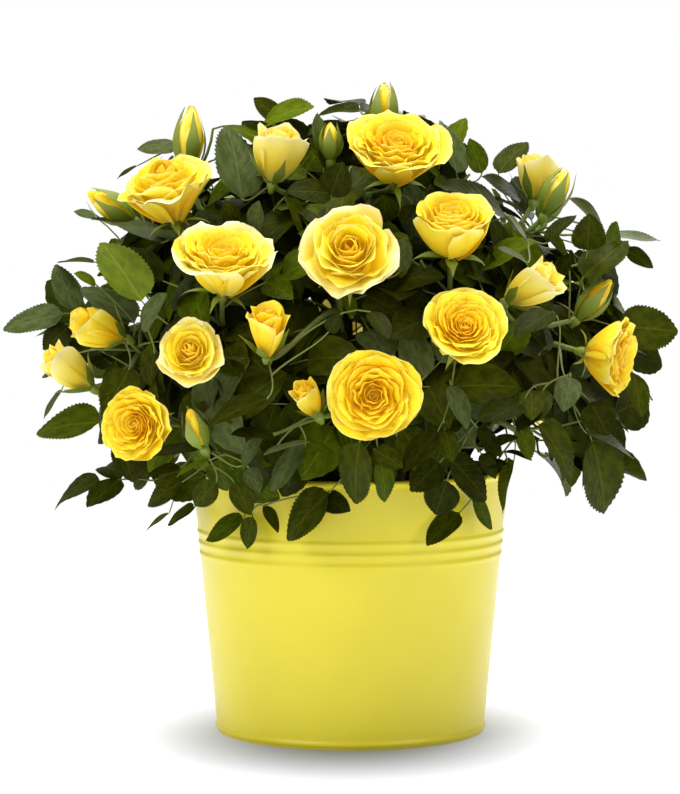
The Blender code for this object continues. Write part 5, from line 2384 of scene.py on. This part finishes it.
    def add_limbs(self) -> None:
        """Lays the canes, and the boughs that they carry."""
        starts = []
        for name, (foot, tip, masses) in CANES.items():
            foot = Vector((foot[0] * MM, foot[1] * MM, self.pot.soil_top + self.gap))
            tip = Vector(tip) * MM
            top = foot + UP * self.cane_flare_height
            points = [foot] + curved(top, UP, tip, tip - foot, self.cane_points - 1)
            radii = [self.cane_flare_radius] + tapered(
                self.cane_radius, self.cane_tip_radius, self.cane_points - 1
            )
            line = Line(points, radii)
            self.limbs[f"cane_{name}"] = line
            self.keep_clear_of(name, line)
            shares = self.bough_shares[: len(masses) - 1] + (1,)
            starts += [(mass, share, line) for share, mass in zip(shares, masses)]
        for mass, share, line in starts:
            self.add_bough(mass, share, line)

    def add_bough(self, mass: str, share: float, cane: Line) -> None:
        """Lays one bough, from the side or the tip of its cane towards the heart of its mass.

        Args:
            mass: The mass.
            share: How far up its cane it starts.
            cane: The cane.
        """
        heart = Vector(HEARTS[mass]) * MM
        place, axis = place_on(cane.points, share * length_of(cane.points))
        if share == 1:
            leave = axis
            start = place + axis * self.gap
        else:
            side = square_to(axis, heart - place)
            leave = (side + axis * self.bough_rise).normalized()
            radius = self.cane_radius + (self.cane_tip_radius - self.cane_radius) * share
            start = place + side * (radius + self.gap + self.bough_radius * leave.dot(axis))
        end = start.lerp(heart, self.bough_reach)
        arrive = heart - end + UP * self.bough_lift
        points = self.clear_curve(start, leave, end, arrive, self.bough_points + 1, mass)
        line = Line(points, tapered(self.bough_radius, self.bough_tip_radius, len(points)))
        self.limbs[f"bough_{mass}"] = line
        self.keep_clear_of(f"bough_{mass}", line)
        self.starts[mass] = (points[-1], (points[-1] - points[-2]).normalized())

    def add_shoots(self) -> None:
        """Grows the shoots of every mass: the main one from the bough, and the others out of it."""
        for mass, (tip, axis) in self.starts.items():
            goals = [
                (bloom.base + bloom.facing * self.sink, bloom.facing, index)
                for index, bloom in enumerate(self.plan.blooms) if bloom.mass == mass
            ]
            places = [place for owner, place in self.plan.ends if owner == mass]
            for place in places or [Vector(HEARTS[mass]) * MM]:
                goals.append((place, (place - CROWN_CENTRE).normalized(), None))
            main = self.add_shoot(mass, tip + axis * self.gap, axis, goals[0])
            length = length_of(main)
            for number, goal in enumerate(goals[1:]):
                share = self.join_shares[number % len(self.join_shares)]
                place, direction = place_on(main, share * length)
                self.add_shoot(mass, place, direction + (goal[0] - place).normalized(), goal)

    def add_shoot(self, mass: str, start: Vector, leave: Vector, goal: tuple) -> list[Vector]:
        """Grows one shoot, up to a bloom that it carries or to a leafy end.

        Args:
            mass: The mass that it belongs to.
            start: Where it starts.
            leave: The way it starts.
            goal: Its end, the way it arrives there, and the bloom that it carries or None.

        Returns:
            Its points.
        """
        end, arrive, index = goal
        points = self.clear_curve(start, leave, end, arrive, self.shoot_points, mass, index)
        line = Line(points, tapered(self.stem_radius, self.stem_tip_radius, self.shoot_points))
        self.shoots.append(Shoot(mass, line, 0.0 if index is None else self.bare_end))
        self.keep_clear_of(mass, line)
        return points

    def add_twigs(self) -> None:
        """Grows finer twigs out of the shoots, where there is room for them."""
        for shoot in list(self.shoots):
            rng = random.Random(f"twigs {shoot.line.points[-1].x:.4f} {shoot.line.points[-1].z:.4f}")
            length = length_of(shoot.line.points)
            turn = rng.uniform(0, math.tau)
            for share in self.twig_shares:
                place, axis = place_on(shoot.line.points, length * share)
                out = (place - CROWN_CENTRE).normalized()
                side = side_of(axis, turn)
                turn += GOLDEN
                way = (axis * 0.6 + side + out * 0.5).normalized()
                end = place + way * rng.uniform(*self.twig_lengths)
                points = curved(place, axis + side, end, way + out * 0.4, self.twig_points)
                rows = rows_of(points[1:])
                if self.room.under_dome(rows) and self.room.clear(rows) and self.room.off_shown(rows):
                    radii = tapered(self.twig_radius, self.twig_tip_radius, self.twig_points)
                    self.shoots.append(Shoot(shoot.mass, Line(points, radii), 0.0, True))

    def shell_depth(self, right: float, up: float, share: float) -> float:
        """Finds how deep a place on the crown's front lies, which is clear of the pot as well.

        Args:
            right: How far right of the axis the eye sees it, in millimetres.
            up: How far above the underside the eye sees it, in millimetres.
            share: How far out it lies, 1 on the outer dome.

        Returns:
            How far behind the plane of the axis it is, in millimetres.
        """
        depth = -self.shown_outside / MM
        for _ in range(4):
            place, _ = in_depth(right, up, depth)
            away = place - CROWN_CENTRE
            tall = LEAF_DOME.z if away.z > 0 else LEAF_DOME_BELOW
            left = share ** 2 - (away.x / LEAF_DOME.x) ** 2 - (away.z / tall) ** 2
            dome = LEAF_DOME.y * math.sqrt(max(0, left))
            wall = self.pot.wall_radius(place.z) + self.shown_off_pot
            beside = math.sqrt(max(0, wall ** 2 - place.x ** 2)) if place.z < self.pot.height else 0
            depth = -max(dome, beside, self.shown_outside) / MM
        return depth

    def shown_leaflet(self, row: tuple, deeper: float, rng: random.Random) -> Leaflet:
        """Makes a leaflet that the eye sees at its place in the list of those that stand out.

        Args:
            row: The leaflet's row in the list.
            deeper: How much deeper in it lies than the crown's shell, in millimetres.
            rng: The random draws.

        Returns:
            The leaflet.
        """
        right, up, tip_right, tip_up, width, tint = row
        seen = math.hypot(tip_right - right, tip_up - up)
        root_depth = self.shell_depth(right, up, self.shown_shares[0])
        tip_depth = self.shell_depth(tip_right, tip_up, self.shown_shares[1])
        middle = (root_depth + tip_depth) / 2 + deeper
        slope = min(self.shown_slope * seen, max(-self.shown_slope * seen, (tip_depth - root_depth) / 2))
        root, _ = in_depth(right, up, middle - slope)
        tip, share = in_depth(tip_right, tip_up, middle + slope)
        chord = tip - root
        aim = chord.normalized()
        facing = square_to(aim, SHOWN_FACING)
        wide = max(width * share * MM, self.shown_width * chord.length)
        roll = math.acos(width * share * MM / wide)
        sides = [Matrix.Rotation(way * roll, 3, aim) @ facing for way in (1, -1)]
        facing = max(sides, key=lambda side: side.z)
        bend = math.radians(rng.uniform(*self.shown_bends))
        fold = math.radians(rng.uniform(*self.shown_folds))
        return Leaflet(
            root, aim * math.cos(bend / 2) + facing * math.sin(bend / 2),
            facing * math.cos(bend / 2) - aim * math.sin(bend / 2),
            chord.length * bend / 2 / math.sin(bend / 2), wide, fold, bend, rng.uniform(0, math.tau), tint,
            self.shown_rows, self.shown_tooth,
        )

    def stalk_effort(self, joint: Vector, leaflet: Leaflet) -> float:
        """Measures how far a stalk from a joint goes, counting a turn before the leaflet as extra."""
        way = leaflet.root - joint
        return way.length * (self.stalk_turn - way.normalized().dot(leaflet.aim))

    def shown_stalk(self, joints: list[tuple[Vector, str]], leaflet: Leaflet) -> tuple[list[Vector], str]:
        """Lays the stalk of a leaf that stands out, from the nearest joint whose way to it is clear.

        Args:
            joints: The places that it may start from, each with its mass.
            leaflet: The leaflet.

        Returns:
            The points along the stalk, and the mass that it starts from.
        """
        near = sorted(joints, key=lambda joint: self.stalk_effort(joint[0], leaflet))
        made = []
        for joint, mass in near[: self.stalk_choices]:
            way = (leaflet.root - joint).normalized()
            stalk = curved(joint, way + UP * 0.2, leaflet.root, leaflet.aim + way * 0.7, 8)
            rows = rows_of(stalk[2:])
            if self.room.clear(rows) and self.room.off_shown(rows):
                return stalk, mass
            made.append((stalk, mass))
        return made[0]

    def add_shown_leaves(self) -> None:
        """Lays the leaves that stand out in front, each behind the blooms that it would cut."""
        joints = [(point, shoot.mass) for shoot in self.shoots for point in shoot.line.points[2:-1]]
        for row in SHOWN_LEAVES:
            rng = random.Random(f"shown {row[:5]}")
            for attempt in range(self.shown_tries):
                sway = rng.uniform(-self.shown_sway, self.shown_sway)
                leaflet = self.shown_leaflet(row, attempt * self.shown_step / MM + sway, rng)
                if self.room.clear(leaflet.samples()):
                    break
            else:
                LOG.info("no room for the shown leaf %s", row[:5])
                continue
            out = (leaflet.root - CROWN_CENTRE).length
            inner = [joint for joint in joints if (joint[0] - CROWN_CENTRE).length < out]
            behind = [joint for joint in inner if joint[0].y > leaflet.root.y - self.shown_step] or joints
            stalk, mass = self.shown_stalk(behind, leaflet)
            joints += [(point, mass) for point in stalk[3:]]
            self.room.show(leaflet)
            self.keep(Leaf(mass, stalk, [leaflet]))

    def add_tip_leaves(self) -> None:
        """Hangs the leaves that stand out behind on stalks from the nearest shoots."""
        for tip in self.plan.tips:
            rng = random.Random(f"tip {tip.place.x:.4f} {tip.place.z:.4f}")
            maker = LeafMaker(rng)
            up = square_to(tip.facing, tip.up)
            back = tip.length * (1 + maker.stalk_share + maker.pair_gap)
            root = tip.place - tip.facing * back
            leaf = maker.leaf(tip.mass, root, tip.facing, up, tip.length, 1, self.tip_youth)
            shift = tip.place - Vector(leaf.leaflets[0].samples()[2])
            leaf.stalk = [point + shift for point in leaf.stalk]
            end, *pairs = [replace(one, root=one.root + shift) for one in leaf.leaflets]
            leaf.leaflets = [end] + [one for one in pairs if self.fits(one, False)]
            joints = [
                point for shoot in self.shoots if shoot.mass == tip.mass and not shoot.fine
                for point in shoot.line.points[2:-1]
            ]
            joint = min(joints, key=lambda point: (point - leaf.stalk[0]).length)
            leaf.stalk = curved(joint, tip.facing + UP * 0.4, leaf.stalk[0], tip.facing, 7)[:-1] + leaf.stalk
            self.keep(leaf)

    def fits(self, leaflet: Leaflet, under_dome: bool = True) -> bool:
        """Tells whether there is room for a leaflet.

        Args:
            leaflet: The leaflet.
            under_dome: Whether it has to lie under the outer dome.

        Returns:
            Whether there is.
        """
        rows, room = leaflet.samples(), self.room
        clear = room.clear(rows) and room.off_shown(rows) and room.off_gaps(leaflet)
        return clear and (not under_dome or room.under_dome(rows)) and room.free(rows[1])

    def keep(self, leaf: Leaf) -> None:
        """Keeps a leaf and marks its place as taken.

        Args:
            leaf: The leaf.
        """
        self.leaves.append(leaf)
        for one in leaf.leaflets:
            self.room.take(one.samples()[1])

    def add_leaves(self) -> None:
        """Grows leaves along every shoot by the golden angle, and drops fine twigs that get none."""
        kept = []
        for number, shoot in enumerate(self.shoots):
            rng = random.Random(f"leaves {number}")
            maker = LeafMaker(rng)
            length = length_of(shoot.line.points)
            back = shoot.bare
            turn = rng.uniform(0, math.tau)
            before = len(self.leaves)
            while length - back > self.first_leaf:
                youth = self.youth if back < self.leaf_steps[1] and not shoot.bare else 0.0
                self.add_leaf(shoot, length - back, turn, youth, maker)
                turn += GOLDEN
                back += rng.uniform(*self.leaf_steps)
            if len(self.leaves) > before or not shoot.fine:
                kept.append(shoot)
        self.shoots = kept

    def add_leaf(self, shoot: Shoot, distance: float, turn: float, youth: float, maker: LeafMaker) -> None:
        """Grows one leaf, turned on round its shoot until it has room.

        Args:
            shoot: The shoot that it grows on.
            distance: How far along the shoot.
            turn: The way it grows round the shoot.
            youth: How young it is.
            maker: What makes the leaf.
        """
        rng = maker.rng
        place, axis = place_on(shoot.line.points, distance)
        out = (place - CROWN_CENTRE).normalized()
        for attempt in range(self.leaf_tries):
            side = side_of(axis, turn + attempt * GOLDEN)
            aim = side + axis * rng.uniform(*self.leaf_forward) + out * rng.uniform(*self.leaf_outward)
            aim.normalize()
            up = square_to(aim, out + UP * self.leaf_up + scatter(rng) * self.leaf_sway)
            length, pairs = rng.uniform(*maker.terminal), rng.choice(self.leaf_pairs)
            leaf = maker.leaf(shoot.mass, place, aim, up, length, pairs, youth)
            end, *others = leaf.leaflets
            if not self.fits(end):
                continue
            leaf.leaflets = [end] + [one for one in others if self.fits(one)]
            if len(leaf.leaflets) > 1 or attempt > self.leaf_tries // 2:
                self.keep(leaf)
                return

    def smooth_line(self, line: Line) -> Line:
        """Fills in a limb's line with many points on the same curve.

        Args:
            line: The limb's line.

        Returns:
            The finer line.
        """
        points, radii = [], []
        count = len(line.points)
        for index in range(count - 1):
            here, there = line.points[index], line.points[index + 1]
            before = line.points[max(index - 1, 0)]
            after = line.points[min(index + 2, count - 1)]
            reach = (there - here).length / 3
            steps = max(2, round((there - here).length / self.limb_step))
            piece = interpolate_bezier(
                here, here + (there - before).normalized() * reach,
                there - (after - here).normalized() * reach, there, steps,
            )
            points += piece if index == count - 2 else piece[:-1]
            taper = tapered(line.radii[index], line.radii[index + 1], steps)
            radii += taper if index == count - 2 else taper[:-1]
        return Line(points, radii)

    def build_bark(self) -> None:
        """Builds the canes and boughs with the relief of their bark, and the canes' prickles."""
        shape = bmesh.new()
        rng = random.Random("prickles")
        for name, rough in self.limbs.items():
            line = self.smooth_line(rough)
            tube = Template.tube(self.limb_sides, len(line.points))
            core = rows_of(line.points)[np.rint(tube.along * (len(line.points) - 1)).astype(int)]
            verts = []
            for row, middle in zip(line.places(tube), core):
                size, share = self.bark_bumps
                knot = noise.noise(Vector(row * self.bark_knots))
                knot += share * noise.noise(Vector(row) * size)
                verts.append(Vector(row) + Vector(row - middle).normalized() * self.bark_relief * knot)
            add_tube(shape, tube, verts)
            if name.startswith("cane"):
                self.add_prickles(shape, line, rng)
        bmesh.ops.recalc_face_normals(shape, faces=shape.faces)
        dress(shaped("rose_bark", shape, self.bark.build(), self.limb_sharp), "bark", *self.limbs)

    def add_prickles(self, shape: bmesh.types.BMesh, line: Line, rng: random.Random) -> None:
        """Adds small hooked prickles to a cane.

        Args:
            shape: The bark's mesh.
            line: The cane's line.
            rng: The random draws.
        """
        size = self.prickle
        length = length_of(line.points)
        distance, end = self.prickles_between
        turn = rng.uniform(0, math.tau)
        while distance < length - end:
            place, axis = place_on(line.points, distance)
            side = side_of(axis, turn)
            radius = float(np.interp(distance / length, (0, 1), (self.cane_radius, self.cane_tip_radius)))
            foot = place + side * (radius - self.prickle_sunk)
            tip = foot + side * size - axis * size * self.prickle_drop
            hook = Line([foot, foot + side * size * 0.5, tip], [size * share for share in self.prickle_radii])
            tube = Template.tube(*self.prickle_tube)
            add_tube(shape, tube, hook.places(tube))
            turn += GOLDEN
            distance += self.prickle_step * rng.uniform(*self.prickle_steps)

    def build_twigs(self) -> None:
        """Builds the shoots, leaf stalks, hips and sepals as one piece."""
        batch = Batch(len(StemKind), 1)
        counts = {len(shoot.line.points) for shoot in self.shoots}
        tubes = {count: Template.tube(self.stem_sides, count) for count in counts}
        for shoot in self.shoots:
            tube = tubes[len(shoot.line.points)]
            batch.add(tube, shoot.line.places(tube), StemKind.TWIG.value)
        counts = {len(leaf.stalk) for leaf in self.leaves}
        tubes = {count: Template.tube(self.stalk_sides, count) for count in counts}
        first, last = self.stalk_taper
        for leaf in self.leaves:
            count = len(leaf.stalk)
            line = Line(leaf.stalk, tapered(self.stalk_radius * first, self.stalk_radius * last, count))
            batch.add(tubes[count], line.places(tubes[count]), StemKind.STALK.value)
        blade = Template.blade(*self.sepal_blade)
        blade = replace(blade, under=np.zeros(len(blade.faces), bool))
        ball = Template.tube(self.hip_sides, len(Rosette.hip_radii))
        for index, bloom in enumerate(self.plan.blooms):
            Rosette(bloom, f"green {index}").add_green(batch, blade, ball)
        materials = [STEMS[kind].build(Cell(kind.value, len(StemKind), 0, 1)) for kind in StemKind]
        dress(batch.build("twigs", materials), "foliage")

    def build_leaves(self) -> None:
        """Builds the leaves of each cane's masses as one piece, which stands for those masses."""
        materials = both_skins(LeafTint, LEAF_UPPER, LEAF_UNDER)
        blades = {rows: Template.blade(2, rows) for rows in (Leaflet.rows, self.shown_rows)}
        for name, (_, _, masses) in CANES.items():
            batch = Batch(len(LeafTint), 2)
            for leaflet in (one for leaf in self.leaves if leaf.mass in masses for one in leaf.leaflets):
                blade = blades[leaflet.rows]
                batch.add(blade, leaflet.places(blade), leaflet.tint.value)
            nodes = [f"foliage_{mass}" for mass in masses]
            dress(batch.build(f"leaves_{name}", materials), "foliage", *nodes)

    def build_blooms(self) -> None:
        """Builds the petals of each cane's blooms as one piece."""
        materials = both_skins(PetalTint, PETAL_INNER, PETAL_OUTER)
        blades = [Template.blade(*size) for size in self.petal_blades]
        ball = Template.tube(self.heart_sides, len(Rosette.heart_radii))
        for name, (_, _, masses) in CANES.items():
            batch = Batch(len(PetalTint), 2)
            for index, bloom in enumerate(self.plan.blooms):
                if bloom.mass in masses:
                    rosette = Rosette(bloom, f"petals {index}")
                    rosette.add_heart(batch, ball)
                    rosette.add_petals(batch, blades)
            dress(batch.build(f"petals_{name}", materials), "petals")


@dataclass(frozen=True)
class Lamp:
    """A square soft light that points at the plant, with its size in metres and its power in watts."""

    name: str
    place: Triple
    size: float
    power: float

    def build(self) -> None:
        """Adds the light to the scene."""
        lamp = bpy.data.lights.new(self.name, "AREA")
        lamp.shape = "SQUARE"
        lamp.size = self.size
        lamp.energy = self.power
        made = bpy.data.objects.new(self.name, lamp)
        made.location = self.place
        made.rotation_euler = (CROWN_CENTRE - Vector(self.place)).to_track_quat("-Z", "Y").to_euler()
        bpy.context.scene.collection.objects.link(made)


@dataclass
class Studio:
    """The white floor with its painted shadow, the soft light and the camera."""

    floor: float = 2.4
    white: FloorWhite = FloorWhite()
    sky: Shade = (0.36, 0.345, 0.30, 1)
    sky_seen: Shade = (1, 1, 1, 1)
    lamps: tuple[Lamp, ...] = (
        Lamp("key", (-1.5, -1.4, 1.5), 1.2, 26),
        Lamp("fill", (1.6, -1.2, 0.8), 1.0, 7),
        Lamp("low", (-0.2, -2.1, 0.25), 1.0, 1.5),
        Lamp("top", (0.1, -0.2, 1.9), 1.4, 45),
        Lamp("rear", (0.6, 1.7, 1.1), 1.2, 14),
    )

    def build(self) -> None:
        """Builds floor, sky, lights and camera."""
        bpy.context.scene.view_settings.view_transform = "Standard"
        shape = bmesh.new()
        bmesh.ops.create_grid(shape, x_segments=1, y_segments=1, size=self.floor / 2)
        shaped("floor", shape, self.white.build())
        self.build_sky()
        for lamp in self.lamps:
            lamp.build()
        self.build_camera()

    def build_sky(self) -> None:
        """Lights the scene softly from all round, and shows plain white behind it."""
        world = bpy.data.worlds.new("sky")
        bpy.context.scene.world = world
        world.use_nodes = True
        nodes, links = world.node_tree.nodes, world.node_tree.links
        path = nodes.new("ShaderNodeLightPath")
        colour = nodes.new("ShaderNodeMix")
        colour.data_type = "RGBA"
        links.new(path.outputs["Is Camera Ray"], colour.inputs["Factor"])
        colour.inputs[6].default_value = self.sky
        colour.inputs[7].default_value = self.sky_seen
        links.new(colour.outputs[2], nodes["Background"].inputs["Color"])

    def build_camera(self) -> None:
        """Sets the camera where the photograph was taken from."""
        camera = bpy.data.cameras.new("camera")
        camera.lens = LENS
        camera.sensor_width = SENSOR
        made = bpy.data.objects.new("camera", camera)
        made.location = EYE
        made.rotation_euler = (LOOK_AT - EYE).to_track_quat("-Z", "Y").to_euler()
        bpy.context.scene.collection.objects.link(made)
        bpy.context.scene.camera = made


def write_sizes() -> None:
    """Updates the view layer."""
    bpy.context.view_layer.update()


def main() -> None:
    """Builds the pot, the soil, the crown and the studio."""
    logging.basicConfig(level=logging.INFO, format="%(name)s: %(message)s")
    pot = Pot()
    pot.build()
    Soil(pot).build()
    crown = Crown(Plan(), pot)
    crown.grow()
    crown.build_bark()
    crown.build_twigs()
    crown.build_leaves()
    crown.build_blooms()
    Studio().build()
    write_sizes()


if __name__ == "__main__":
    main()
